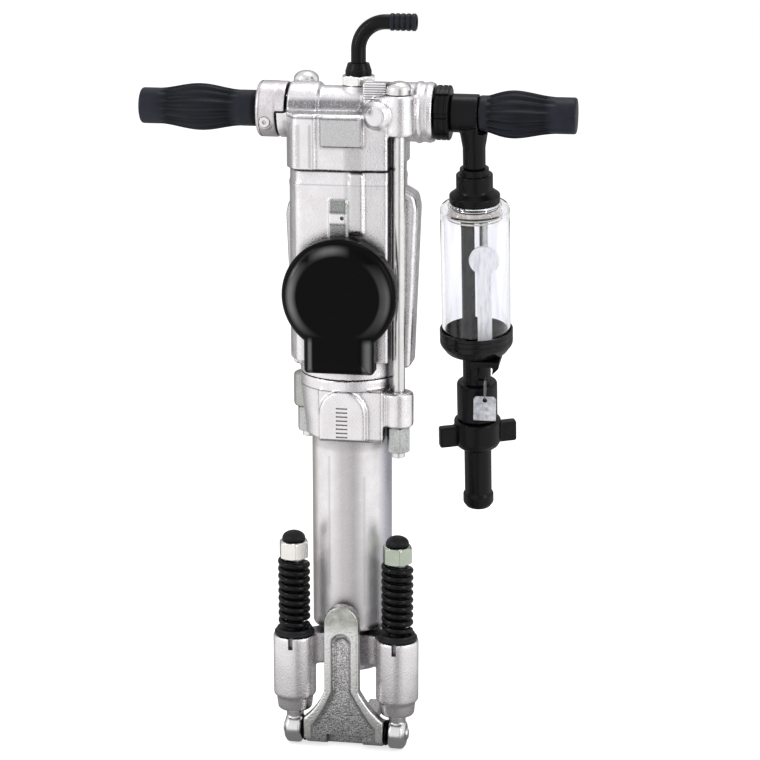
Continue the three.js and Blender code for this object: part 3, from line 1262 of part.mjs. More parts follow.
// Retainer bolts with eyes, their nuts, spring seats and springs
function retainerBolt() {
  const shank = turnedZ([
    [0, eyeRadius / 2 - hingeDrop], [retainerBoltRadius, eyeRadius / 2 - hingeDrop],
    [retainerBoltRadius, retainerNutTop + fitGap], [boltEndRadius, retainerNutTop + fitGap],
    [boltEndRadius * Math.cos(Math.PI / 6), retainerNutTop + fitGap + boltDomeHeight / 2],
    [boltEndRadius / 2, retainerNutTop + boltDomeHeight - fitGap * 2], [0, retainerNutTop + boltDomeHeight],
  ], smallSides);
  const eye = turnedX([
    [0, -eyeHalfWidth], [eyeRadius - eyeRound, -eyeHalfWidth], [eyeRadius, eyeRound - eyeHalfWidth],
    [eyeRadius, eyeHalfWidth - eyeRound], [eyeRadius - eyeRound, eyeHalfWidth], [0, eyeHalfWidth],
  ]);
  const pinHole = turnedX(rodProfile(hingePinRadius + fitGap, -eyeHalfWidth - cutOverrun, eyeHalfWidth + cutOverrun), smallSides);
  return cut(join(shank, moved(eye, 0, 0, -hingeDrop)), moved(pinHole, 0, 0, -hingeDrop));
}

// One unbroken wire: curls at an even pitch with a straight run of one wire diameter at each end
function springPoints() {
  const coilRadius = springOuterRadius - springWireRadius;
  const height = springLength - 2 * springWireRadius;
  const turns = springCurls * 2 * Math.PI;
  const helix = (share) => new THREE.Vector3(-coilRadius * Math.sin(turns * share), coilRadius * Math.cos(turns * share),
    springBottom + springWireRadius + height * share);
  const steps = springStepsPerCurl * springCurls;
  const points = [...Array(steps + 1).keys()].map((k) => helix(k / steps));
  const run = 2 * springWireRadius;
  const start = points[0].clone().add(new THREE.Vector3(run, 0, 0));
  const last = points[steps];
  const tangent = new THREE.Vector3(-last.y, last.x, 0).normalize().multiplyScalar(run);
  return [start, ...points, last.clone().add(tangent)];
}
function spring() {
  const points = springPoints();
  const axis = new THREE.Vector3(0, 0, 1);
  const rings = points.map((point, i) => {
    const tangent = points[Math.min(i + 1, points.length - 1)].clone().sub(points[Math.max(i - 1, 0)]).normalize();
    const outward = new THREE.Vector3().crossVectors(tangent, axis).normalize();
    const upward = new THREE.Vector3().crossVectors(outward, tangent);
    return [...Array(springSides).keys()].map((k) => {
      const angle = (2 * Math.PI * k) / springSides;
      return point.clone().addScaledVector(outward, springWireRadius * Math.cos(angle))
        .addScaledVector(upward, springWireRadius * Math.sin(angle));
    });
  });
  return skinned(rings);
}

// Least gap of the spring wire to itself, measured between centre-line points over half a curl apart
function springSelfGap() {
  const points = springPoints();
  let least = Infinity;
  points.forEach((a, i) => points.slice(i + Math.ceil(springStepsPerCurl / 2) + 1).forEach((b) => {
    least = Math.min(least, a.distanceTo(b) - 2 * springWireRadius);
  }));
  return least;
}
console.log("least gap of the spring wire to itself: " + springSelfGap().toFixed(2) + " mm");

for (const [name, side] of sidePlaces) {
  const x = side * bossOffsetX;
  place("retainer_bolt_" + name, moved(retainerBolt(), x, -bossOffsetY, 0), machinedSteel());
  const nut = crownNut(retainerBoltRadius + fitGap);
  place("retainer_nut_" + name, moved(nut, x, -bossOffsetY, 0), machinedSteel());
  const seat = turnedZ([
    [bossBoreRadius, seatBottom], [springSeatRadius, seatBottom], [springSeatRadius, seatBottom + springSeatHeight / 2],
    [springSeatRadius - springSeatLip, seatBottom + springSeatHeight], [bossBoreRadius, seatBottom + springSeatHeight],
    [bossBoreRadius, seatBottom],
  ], plainSides);
  place("spring_seat_" + name, moved(seat, x, -bossOffsetY, 0), blackRubber());
  place("retainer_spring_" + name, moved(spring(), x, -bossOffsetY, 0), springBlack());
}

// Steel retainer: hinge barrel, channelled kick tongue in front, fork behind that holds the steel collar
function tongueShape(inset) {
  const half = tongueHalfWidth - inset;
  const middle = tongueOffset;
  const foot = tongueFootBottom + inset;
  const width = retainerHalfWidth - inset;
  const shape = new THREE.Shape();
  shape.moveTo(-width, foot);
  shape.lineTo(width, foot);
  shape.lineTo(width, tongueFootTop - inset);
  shape.quadraticCurveTo(tongueFlareMidHalf - inset / 2, tongueFlareMid - inset, middle + half, tongueFlareTop);
  shape.lineTo(middle + half, tongueTop - tongueHalfWidth);
  shape.absarc(middle, tongueTop - tongueHalfWidth, half, 0, Math.PI, false);
  shape.lineTo(middle - half, tongueFlareTop);
  shape.quadraticCurveTo(-tongueFlareMidHalf + inset / 2, tongueFlareMid - inset, -width, tongueFootTop - inset);
  shape.closePath();
  return shape;
}
function retainer() {
  const plate = frontPlate(tongueShape(0), -tongueFront, -tongueBack, edgeRound / 2, 6);
  const panel = frontPlate(tongueShape(tongueRimWidth), -tongueFront - cutOverrun, -tongueFront + tonguePanelDepth, 0, 6);
  const barrel = turnedX([
    [0, -retainerHalfWidth], [retainerBarrelRadius - edgeRound, -retainerHalfWidth],
    [retainerBarrelRadius, edgeRound - retainerHalfWidth], [retainerBarrelRadius, retainerHalfWidth - edgeRound],
    [retainerBarrelRadius - edgeRound, retainerHalfWidth], [0, retainerHalfWidth],
  ]);
  const forkShape = new THREE.Shape();
  forkShape.moveTo(-forkHalfWidth, -bossOffsetY);
  forkShape.lineTo(forkHalfWidth, -bossOffsetY);
  forkShape.lineTo(forkHalfWidth, forkReach - edgeRound);
  forkShape.lineTo(forkHalfWidth - edgeRound, forkReach);
  forkShape.lineTo(forkSlotHalf, forkReach);
  forkShape.lineTo(forkSlotHalf, 0);
  forkShape.absarc(0, 0, forkSlotHalf, 0, Math.PI, true);
  forkShape.lineTo(-forkSlotHalf, forkReach);
  forkShape.lineTo(edgeRound - forkHalfWidth, forkReach);
  forkShape.lineTo(-forkHalfWidth, forkReach - edgeRound);
  forkShape.closePath();
  const fork = raised(forkShape, forkBottom, forkTop);
  const notch = block(-footNotchHalf, footNotchHalf, -tongueFront - cutOverrun, -bossOffsetY,
    tongueFootBottom - castRound - retainerBarrelRadius, tongueFootBottom + footNotchRise);
  const pinHole = turnedX(rodProfile(hingePinRadius + slideGap, -retainerHalfWidth - cutOverrun,
    retainerHalfWidth + cutOverrun), mediumSides);
  const body = join(cut(plate, panel, notch), moved(barrel, 0, -bossOffsetY, -hingeDrop), fork);
  return cut(body, moved(pinHole, 0, -bossOffsetY, -hingeDrop));
}
place("steel_retainer", retainer(), forgedSteel());
const pinEnd = bossOffsetX + eyeHalfWidth + hingePinOverhang;
const hingePin = turnedX([
  [0, -pinEnd], [hingePinRadius - edgeRound / 2, -pinEnd], [hingePinRadius, edgeRound / 2 - pinEnd],
  [hingePinRadius, pinEnd - edgeRound / 2], [hingePinRadius - edgeRound / 2, pinEnd], [0, pinEnd],
], smallSides);
place("retainer_pin", moved(hingePin, 0, -bossOffsetY, -hingeDrop), machinedSteel());

// A straight or helical fluted bar section: flutes sink from the outer radius, twisting with height
function flutedBar(outer, depth, bottom, top) {
  const sides = rifleFluteCount * 4;
  const steps = Math.max(1, Math.round((top - bottom) / rifleRingStep));
  const sinkShare = [0, 0, 1, 1];
  return skinned([...Array(steps + 1).keys()].map((r) => {
    const z = bottom + ((top - bottom) * r) / steps;
    const twist = (2 * Math.PI * z) / rifleLead;
    return [...Array(sides).keys()].map((k) => {
      const angle = (2 * Math.PI * k) / sides + twist;
      const radius = outer - depth * sinkShare[k % 4];
      return new THREE.Vector3(radius * Math.cos(angle), radius * Math.sin(angle), z);
    });
  }));
}

// Pawl seen along the axis: round heel in the rifle-bar head, arm out to a tooth of the ratchet ring
function pawlShape(grow) {
  const nose = pawlNosePlace();
  const direction = new THREE.Vector2(nose[0] - pawlPivotRadius, nose[1]).normalize();
  const side = new THREE.Vector2(-direction.y, direction.x);
  const corner = (point, along, across) =>
    [point[0] + direction.x * along + side.x * across, point[1] + direction.y * along + side.y * across];
  const heel = [pawlPivotRadius, 0];
  return outline([
    corner(heel, 0, -pawlHeelRadius - grow), corner(nose, grow, -pawlNoseHalf - grow),
    corner(nose, grow, pawlNoseHalf + grow), corner(heel, 0, pawlHeelRadius + grow),
  ]);
}
function pawlNosePlace() {
  const reach = ratchetRootRadius - 2 * pawlNoseHalf;
  const angle = radians(pawlReachDegrees);
  return [reach * Math.cos(angle), reach * Math.sin(angle)];
}
function pawlSolid(grow, bottom, top) {
  const heel = moved(turnedZ(rodProfile(pawlHeelRadius + grow, bottom, top), smallSides), pawlPivotRadius, 0, 0);
  return join(raised(pawlShape(grow), bottom, top), heel);
}
const pawlTurns = [...Array(pawlCount).keys()].map((k) => (360 * k) / pawlCount);
const rifleHeadBottom = ratchetBottom + fitGap;
const rifleHeadTop = ratchetTop - fitGap;
function rifleBar() {
  const head = turnedZ(rodProfile(rifleHeadRadius, rifleHeadBottom, rifleHeadTop), barrelSides);
  const neck = turnedZ(rodProfile(rifleNeckRadius, valveChestBottom, rifleHeadBottom + fitGap));
  const shaft = flutedBar(rifleRadius, rifleFluteDepth, rifleTip, valveChestBottom + fitGap);
  const bore = turnedZ(rodProfile(waterPassageRadius, rifleTip - cutOverrun, rifleHeadTop + cutOverrun), smallSides);
  const pockets = pawlTurns.flatMap((turn) => {
    const pocket = pawlSolid(slideGap, rifleHeadBottom - cutOverrun, rifleHeadTop + cutOverrun);
    const atPivot = moved(pocket, -pawlPivotRadius, 0, 0);
    const inward = moved(atPivot.rotate([0, 0, pawlSwingDegrees]), pawlPivotRadius, 0, 0);
    return [pocket, inward].map((one) => one.rotate([0, 0, turn]));
  });
  return cut(join(head, neck, shaft), bore, ...pockets);
}
function ratchetRing() {
  const pitch = (2 * Math.PI) / ratchetToothCount;
  const lead = radians(pawlReachDegrees) + pitch * ratchetLeadShare;
  const teeth = new THREE.Path([...Array(ratchetToothCount * 2).keys()].map((k) => {
    const tooth = Math.floor(k / 2);
    const radius = k % 2 ? ratchetTipRadius : ratchetRootRadius;
    const angle = lead + tooth * pitch + (k % 2 ? pitch * ratchetRakeShare : 0);
    return new THREE.Vector2(radius * Math.cos(angle), radius * Math.sin(angle));
  }).reverse());
  const shape = roundShape(cylinderBoreRadius - fitGap);
  shape.holes.push(teeth);
  return raised(shape, ratchetBottom, ratchetTop, 0, 14);
}
place("ratchet_ring", ratchetRing(), forgedSteel());
place("rifle_bar", rifleBar(), machinedSteel());
pawlTurns.forEach((turn, i) => {
  const pawl = pawlSolid(0, rifleHeadBottom + fitGap, rifleHeadTop - fitGap).rotate([0, 0, turn]);
  place("pawl_" + (i + 1), pawl, machinedSteel());
});

// Valve chest with its cover and the ring valve that floats between them
const chestRadius = cylinderBoreRadius - fitGap;
const rifleClearRadius = rifleNeckRadius + slideGap;
function portRing(bottom, top, radius) {
  const port = moved(turnedZ(rodProfile(valvePortRadius, bottom - cutOverrun, top + cutOverrun), portSides), radius, 0, 0);
  return [...Array(valvePortCount).keys()].map((k) => port.rotate([0, 0, (360 * k) / valvePortCount]));
}
const valveMidRadius = (valveGrooveInner + valveGrooveOuter) / 2;
const chest = cut(
  turnedZ(ringProfile(rifleClearRadius, chestRadius, valveChestBottom, valveChestTop), barrelSides),
  turnedZ(ringProfile(valveGrooveInner, valveGrooveOuter, valveChestTop - valveGrooveDepth, valveChestTop + cutOverrun), barrelSides),
  ...portRing(valveChestBottom, valveChestTop, valveMidRadius),
);
place("valve_chest", chest, bronze());
const valveCover = cut(
  turnedZ(ringProfile(rifleClearRadius, chestRadius, valveCoverBottom, valveCoverTop), barrelSides),
  ...portRing(valveCoverBottom, valveCoverTop, valveMidRadius),
);
place("valve_cover", valveCover, bronze());
const valveBottom = valveChestTop - valveGrooveDepth + fitGap;
const valveTop = valveChestTop - fitGap - valveTravel;
place("distribution_valve", turnedZ(ringProfile(valveGrooveInner + slideGap, valveGrooveOuter - slideGap, valveBottom, valveTop), barrelSides),
  machinedSteel());

// Piston with its grooved stem, the rifle nut in its head, and the turning sleeve and chuck below
function splines(width, depth, inner, bottom, top) {
  return [...Array(splineCount).keys()].map((k) =>
    block(inner - depth, inner + cutOverrun, -width / 2, width / 2, bottom, top).rotate([0, 0, (360 * k) / splineCount]));
}
function piston() {
  const body = turnedZ([
    [0, pistonTip], [pistonNoseRadius, pistonTip], [pistonNoseRadius, pistonTip + pistonNoseHeight],
    [pistonStemRadius, pistonTip + pistonNoseHeight], [pistonStemRadius, pistonBottom],
    [pistonHeadRadius - edgeRound, pistonBottom], [pistonHeadRadius, pistonBottom + edgeRound],
    [pistonHeadRadius, pistonTop - edgeRound], [pistonHeadRadius - edgeRound, pistonTop], [0, pistonTop],
  ], barrelSides);
  const bore = turnedZ([
    [0, pistonTip - cutOverrun], [waterPassageRadius, pistonTip - cutOverrun], [waterPassageRadius, pistonTop - rifleBoreDepth],
    [rifleBoreRadius, pistonTop - rifleBoreDepth], [rifleBoreRadius, pistonTop - rifleNutHeight],
    [rifleNutRadius + fitGap, pistonTop - rifleNutHeight], [rifleNutRadius + fitGap, pistonTop + cutOverrun],
    [0, pistonTop + cutOverrun],
  ]);
  const grooves = splines(pistonGrooveWidth, pistonGrooveDepth, pistonStemRadius, pistonTip - cutOverrun,
    pistonBottom - pistonGrooveTopDrop);
  return cut(body, bore, ...grooves);
}
place("piston", piston(), machinedSteel());
const rifleNut = cut(
  turnedZ(rodProfile(rifleNutRadius, pistonTop - rifleNutHeight + fitGap, pistonTop - fitGap)),
  flutedBar(rifleRadius + slideGap, rifleFluteDepth, pistonTop - rifleNutHeight - cutOverrun, pistonTop + cutOverrun),
);
place("rifle_nut", rifleNut, bronze());
const guideTop = flangeTop - guideBushTopDrop;
const guide = turnedZ(ringProfile(pistonStemRadius + slideGap, frontTubeBoreRadius - fitGap,
  guideTop - guideBushHeight, guideTop));
place("piston_guide_bush", guide, bronze());

const sleeveRadius = frontTubeBoreRadius - slideGap;
const sleeveBoreRadius = pistonStemRadius + slideGap;
function turningSleeve() {
  const tube = turnedZ(ringProfile(sleeveBoreRadius, sleeveRadius, sleeveBottom, sleeveTop));
  const keys = splines(sleeveKeyWidth, sleeveKeyDepth, sleeveBoreRadius, sleeveKeyBottom, sleeveTop);
  const dogHalf = (dogSlotWidth - fitGap) / 2 - fitGap;
  const dogRoom = turnedZ(rodProfile(sleeveRadius, sleeveBottom - dogSlotDepth, sleeveBottom + castRound), mediumSides);
  const dogs = [0, halfTurn].map((turn) =>
    block(chuckBoreRadius + slideGap, sleeveRadius, -dogHalf, dogHalf, sleeveBottom - dogSlotDepth + fitGap,
      sleeveBottom + edgeRound).intersect(dogRoom).rotate([0, 0, turn]));
  return join(tube, ...keys, ...dogs);
}
place("rotation_sleeve", turningSleeve(), machinedSteel());
function chuckBody() {
  const tube = turnedZ([
    [chuckBoreRadius, chuckBottom], [noseChamberRadius - slideGap, chuckBottom],
    [noseChamberRadius - slideGap, noseChamberTop + slideGap], [sleeveRadius, noseChamberTop + slideGap],
    [sleeveRadius, chuckTop], [chuckBoreRadius, chuckTop], [chuckBoreRadius, chuckBottom],
  ]);
  const slots = [0, halfTurn].map((turn) => block(0, sleeveRadius + cutOverrun, -dogSlotWidth / 2, dogSlotWidth / 2,
    chuckTop - dogSlotDepth - fitGap, chuckTop + cutOverrun).rotate([0, 0, turn]));
  return cut(tube, ...slots);
}
place("chuck", chuckBody(), machinedSteel());
const bushing = cut(
  turnedZ(rodProfile(chuckBoreRadius - fitGap, chuckBottom, bushingTop)),
  raised(hexShape(bushingAcrossFlats), chuckBottom - cutOverrun, bushingTop + cutOverrun),
);
place("chuck_bushing", bushing, forgedSteel());
place("nose_bush", turnedZ(ringProfile(noseBushBoreRadius, noseBoreRadius - fitGap, 0, noseLipHeight)), bronze());

export default drill;
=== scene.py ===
"""Pneumatic rock drill: fine forms, finishes, floor, light and camera round the packed CAD frame."""

import math

import bmesh
import bpy
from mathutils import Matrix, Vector


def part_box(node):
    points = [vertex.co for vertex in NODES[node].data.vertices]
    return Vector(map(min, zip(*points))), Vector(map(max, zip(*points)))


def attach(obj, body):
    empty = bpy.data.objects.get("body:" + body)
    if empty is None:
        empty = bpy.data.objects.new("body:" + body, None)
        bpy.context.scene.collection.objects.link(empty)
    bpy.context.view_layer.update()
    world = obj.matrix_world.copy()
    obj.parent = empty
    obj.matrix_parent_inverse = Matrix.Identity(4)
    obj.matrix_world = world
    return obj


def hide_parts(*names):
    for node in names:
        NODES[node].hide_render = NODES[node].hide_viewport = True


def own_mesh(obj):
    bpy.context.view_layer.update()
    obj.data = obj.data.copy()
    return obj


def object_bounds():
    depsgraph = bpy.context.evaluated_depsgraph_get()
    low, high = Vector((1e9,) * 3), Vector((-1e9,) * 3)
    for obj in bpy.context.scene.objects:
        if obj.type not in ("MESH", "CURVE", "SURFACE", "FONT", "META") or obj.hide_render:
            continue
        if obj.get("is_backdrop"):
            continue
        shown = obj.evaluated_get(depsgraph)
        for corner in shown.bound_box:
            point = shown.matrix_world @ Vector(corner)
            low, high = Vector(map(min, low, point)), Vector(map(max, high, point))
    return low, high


bl_info = {
    "name": "Pneumatic Rock Drill",
    "version": (1, 0, 0),
    "blender": (4, 5, 0),
    "location": "View3D > Sidebar > Rock Drill",
    "description": "Fine forms and finishes of a hand-held rock drill round its CAD frame",
    "category": "Add Mesh",
}

MM = 0.001
POINT = 0.01

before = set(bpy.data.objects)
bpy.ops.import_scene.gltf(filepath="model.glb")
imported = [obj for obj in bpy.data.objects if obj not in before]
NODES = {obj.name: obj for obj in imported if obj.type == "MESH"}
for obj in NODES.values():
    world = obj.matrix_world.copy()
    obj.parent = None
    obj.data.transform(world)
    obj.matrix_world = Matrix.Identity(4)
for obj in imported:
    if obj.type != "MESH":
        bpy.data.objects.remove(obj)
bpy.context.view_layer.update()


# ---------------------------------------------------------------- outlines and solids, in millimetres

def rounded(points, steps=6, closed=True):
    """Rounds each corner of an outline that has a third number, its radius."""
    nearly_flat, most_of_side = 0.02, 0.49
    out = []
    count = len(points)
    for i, point in enumerate(points):
        radius = point[2] if len(point) > 2 else 0
        here = Vector(point[:2])
        back = Vector(points[i - 1][:2]) - here
        on = Vector(points[(i + 1) % count][:2]) - here
        half = back.angle(on, 0.0) / 2
        open_end = not closed and i in (0, count - 1)
        if radius <= 0 or open_end or half < nearly_flat or half > math.pi / 2 - nearly_flat:
            out.append((here.x, here.y))
            continue
        cut = min(radius / math.tan(half), back.length * most_of_side, on.length * most_of_side)
        radius = cut * math.tan(half)
        centre = here + (back.normalized() + on.normalized()).normalized() * (radius / math.sin(half))
        start = here + back.normalized() * cut - centre
        end = here + on.normalized() * cut - centre
        turn = start.angle_signed(end)
        for k in range(steps + 1):
            c, s = math.cos(-turn * k / steps), math.sin(-turn * k / steps)
            out.append(tuple(centre + Vector((start.x * c - start.y * s, start.x * s + start.y * c))))
    return out


def placed(axis, u, v, height):
    """A point of a section at a height along an axis: the section's u and v are the other two axes in order."""
    return {"X": (height, u, v), "Y": (u, height, v), "Z": (u, v, height)}[axis]


def moved(solid, x, y, z):
    points, faces = solid
    return [(a + x, b + y, c + z) for a, b, c in points], faces


def skin(rings, cyclic=False):
    """A closed surface through rings of the same number of points, capped at both ends unless cyclic."""
    points = [point for ring in rings for point in ring]
    size = len(rings[0])
    faces = []
    last = len(rings) if cyclic else len(rings) - 1
    for i in range(last):
        a, b = i * size, ((i + 1) % len(rings)) * size
        for k in range(size):
            n = (k + 1) % size
            faces.append((a + k, a + n, b + n, b + k))
    if not cyclic:
        faces.append(tuple(range(size))[::-1])
        faces.append(tuple(range((len(rings) - 1) * size, len(rings) * size)))
    return points, faces


def hoop(axis, height, radius, count):
    """A ring of points round an axis; radius is a number, or a function of height and angle."""
    points = []
    for k in range(count):
        a = 2 * math.pi * k / count
        r = radius(height, a) if callable(radius) else radius
        points.append(placed(axis, r * math.cos(a), r * math.sin(a), height))
    return points


def turned(profile, axis="Z", at=(0, 0, 0), sides=96, ring=False, steps=6):
    """A turned solid: profile points are (radius, height, corner radius); ring joins its last point to its first."""
    line = rounded(profile, steps, closed=ring)
    return moved(skin([hoop(axis, height, max(radius, POINT), sides) for radius, height in line], cyclic=ring), *at)


def rod(radius, low, high, axis="Z", at=(0, 0, 0), sides=64, edge=0.0):
    return turned([(0, low), (radius, low, edge), (radius, high, edge), (0, high)], axis, at, sides)


def prism(points, axis, low, high, bevel=0.0):
    """An outline drawn straight along an axis, with its two rims rounded by bevel."""
    line = rounded(points)
    rings = [[placed(axis, u, v, height) for u, v in line] for height in (low, high)]
    solid = skin(rings)
    if bevel <= 0:
        return solid
    work = work_mesh([solid])
    count = len(line)
    work.faces.ensure_lookup_table()
    caps = [face for face in work.faces if len(face.verts) == count]
    edges = list({edge for face in caps for edge in face.edges})
    bmesh.ops.bevel(work, geom=edges, offset=bevel, segments=5, profile=0.5, affect="EDGES", clamp_overlap=True)
    work.verts.index_update()
    made = [tuple(v.co) for v in work.verts], [tuple(v.index for v in face.verts) for face in work.faces]
    work.free()
    return made


def rectangle(u0, u1, v0, v1, corner=0.0):
    return [(u0, v0, corner), (u1, v0, corner), (u1, v1, corner), (u0, v1, corner)]


def block(x0, x1, y0, y1, z0, z1):
    return prism(rectangle(x0, x1, y0, y1), "Z", z0, z1)


def polar(heights, radius, axis, at, count, bore):
    """A bored solid whose outer radius at each height and angle is given by a function."""
    outside = [hoop(axis, height, radius, count) for height in heights]
    inside = [hoop(axis, height, bore, count) for height in (heights[-1], heights[0])]
    return moved(skin(outside + inside, cyclic=True), *at)


def spread(low, high, count):
    """Evenly spaced numbers, both ends included."""
    return [low + (high - low) * k / (count - 1) for k in range(count)]


def dome(radius, low, high, count):
    """Profile of a rounded head from its rim to its middle."""
    return [(radius * math.cos(a), low + (high - low) * math.sin(a)) for a in spread(0.1, 1.5, count)] + [(0, high)]


def edge_heights(low, high, edge, count=5):
    """Heights that are close together near both ends."""
    near = [edge * k / count for k in range(count + 1)]
    return [low + h for h in near] + [high - h for h in near[::-1]]


def hexagon(flats, angle, turn):
    """Distance from the middle to a hexagon's side in one direction."""
    third = math.pi / 3
    off = (angle - turn + third / 2) % third - third / 2
    return flats / 2 / math.cos(off)


def hex_nut(flats, low, high, bore, at, turn):
    """A hexagon nut whose corners are turned down in a cone at both ends."""
    corner, crown, end_face, slope = flats / math.sqrt(3), 2.4, 0.985, 1.9

    def radius(height, angle):
        near = min(height - low, high - height)
        cone = flats / 2 * end_face + near * slope
        return min(hexagon(flats, angle, turn), cone, corner - 0.25)

    return polar(edge_heights(low, high, crown), radius, "Z", at, 180, bore)


def sector(inner, outer, start, end):
    """Outline of a wedge of a ring between two angles in degrees."""
    arc = [math.radians(angle) for angle in spread(start, end, 49)]
    out = [(outer * math.cos(a), outer * math.sin(a)) for a in arc]
    return out + [(inner * math.cos(a), inner * math.sin(a)) for a in arc[::-1]]


def tube(path, radius, sides):
    """A round bar along a path of points."""
    path = [Vector(p) for p in path]
    angles = [2 * math.pi * k / sides for k in range(sides)]
    up = Vector((0.3, 0.9, 0.1)).normalized()
    rings = []
    for i, point in enumerate(path):
        along = (path[min(i + 1, len(path) - 1)] - path[max(i - 1, 0)]).normalized()
        side = along.cross(up).normalized()
        up = side.cross(along).normalized()
        rings.append([tuple(point + (side * math.cos(a) + up * math.sin(a)) * radius) for a in angles])
    return skin(rings)


# ---------------------------------------------------------------- from solids to pieces

def work_mesh(solids):
    """One bmesh, in the solids' own unit, from closed solids laid together."""
    work = bmesh.new()
    for points, faces in solids:
        made = [work.verts.new(p) for p in points]
        for face in faces:
            work.faces.new([made[k] for k in face])
    bmesh.ops.recalc_face_normals(work, faces=work.faces)
    return work


def mesh_object(name, solids):
    work = work_mesh(solids)
    bmesh.ops.scale(work, vec=(MM, MM, MM), verts=work.verts)
    bmesh.ops.remove_doubles(work, verts=work.verts, dist=2e-6)
    bmesh.ops.recalc_face_normals(work, faces=work.faces)
    mesh = bpy.data.meshes.new(name)
    work.to_mesh(mesh)
    work.free()
    made = bpy.data.objects.new(name, mesh)
    bpy.context.scene.collection.objects.link(made)
    return made


def settle(made):
    """Turns an object's modifiers into its mesh."""
    bpy.context.view_layer.update()
    graph = bpy.context.evaluated_depsgraph_get()
    mesh = bpy.data.meshes.new_from_object(made.evaluated_get(graph), depsgraph=graph)
    old = made.data
    made.modifiers.clear()
    made.data = mesh
    bpy.data.meshes.remove(old)
    return made


def cut_away(made, cuts):
    """Takes closed solids away from an object, one exact boolean for each list of solids that lie apart."""
    for group in cuts:
        tool = mesh_object("tool", group)
        bite = made.modifiers.new("bite", "BOOLEAN")
        bite.operation = "DIFFERENCE"
        bite.solver = "EXACT"
        bite.object = tool
        settle(made)
        bpy.data.objects.remove(tool)
    return made


def melted(made, voxel, soften):
    """Melts an object into one skin on a grid of voxel millimetres, then softens its corners in some rounds."""
    grid = made.modifiers.new("melt", "REMESH")
    grid.mode = "VOXEL"
    grid.voxel_size = voxel * MM
    grid.use_smooth_shade = True
    soft = made.modifiers.new("soften", "SMOOTH")
    soft.factor = 0.5
    soft.iterations = soften
    return settle(made)


def casting(name, solids, cuts, voxel, soften):
    """Solids melted into one casting with soft corners, then cut by crisp machined shapes."""
    return cut_away(melted(mesh_object(name, solids), voxel, soften), cuts)


def finish_piece(made, body, slot, nodes, finish=None, sharp=38.0):
    """Shades a piece, gives it its finish, and ties it to its body and the nodes it stands for."""
    made.data.shade_smooth()
    made.data.set_sharp_from_angle(angle=math.radians(sharp))
    made.data.materials.clear()
    made.data.materials.append(FINISHES[finish or slot])
    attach(made, body)
    if nodes:
        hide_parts(*nodes)
    return made


def piece(name, solids, body, slot, nodes, finish=None, sharp=38.0):
    """A finished piece from plain solids."""
    return finish_piece(mesh_object(name, solids), body, slot, nodes, finish, sharp)


# ---------------------------------------------------------------- finishes

class Sock:
    """An output of a node; its operators add the Math nodes of an expression."""

    def __init__(self, owner, made, key=0):
        self.owner = owner
        self.made = made
        self.out = made.outputs[key] if made.outputs else None

    def _math(self, operation, *values):
        return self.owner.node("ShaderNodeMath", {"operation": operation}, *values)

    def __add__(self, other):
        return self._math("ADD", self, other)

    def __sub__(self, other):
        return self._math("SUBTRACT", self, other)

    def __rsub__(self, other):
        return self._math("SUBTRACT", other, self)

    def __mul__(self, other):
        return self._math("MULTIPLY", self, other)

    def __abs__(self):
        return self._math("ABSOLUTE", self)

    __radd__ = __add__
    __rmul__ = __mul__

    def above(self, low, high):
        """0 below low, 1 above high, a straight ramp between."""
        return self.owner.node("ShaderNodeMapRange", {"clamp": True}, self, low, high, 0.0, 1.0)


class Nodes:
    """A tree whose nodes are all made by one method."""

    def __init__(self, tree):
        self.tree = tree

    def node(self, kind, settings, *values, out=0, **named):
        """A node: its settings, then its sockets' values or links, in order (None leaves one out) or by name."""
        made = self.tree.nodes.new(kind)
        for key, value in settings.items():
            setattr(made, key, value)
        by_name = [(key.replace("_", " "), value) for key, value in named.items()]
        for key, value in [*enumerate(values), *by_name]:
            if isinstance(value, Sock):
                self.tree.links.new(value.out, made.inputs[key])
            elif value is not None:
                made.inputs[key].default_value = value
        return Sock(self, made, out)

    def outputs(self, sock, *keys):
        """Several outputs of the node behind a socket."""
        return [Sock(self, sock.made, key) for key in keys]

    def mix(self, share, first, second):
        """Two colours mixed; the Mix node's colour sockets follow its number and vector ones."""
        return self.node("ShaderNodeMix", {"data_type": "RGBA"}, share, *[None] * 5, first, second, out=2)


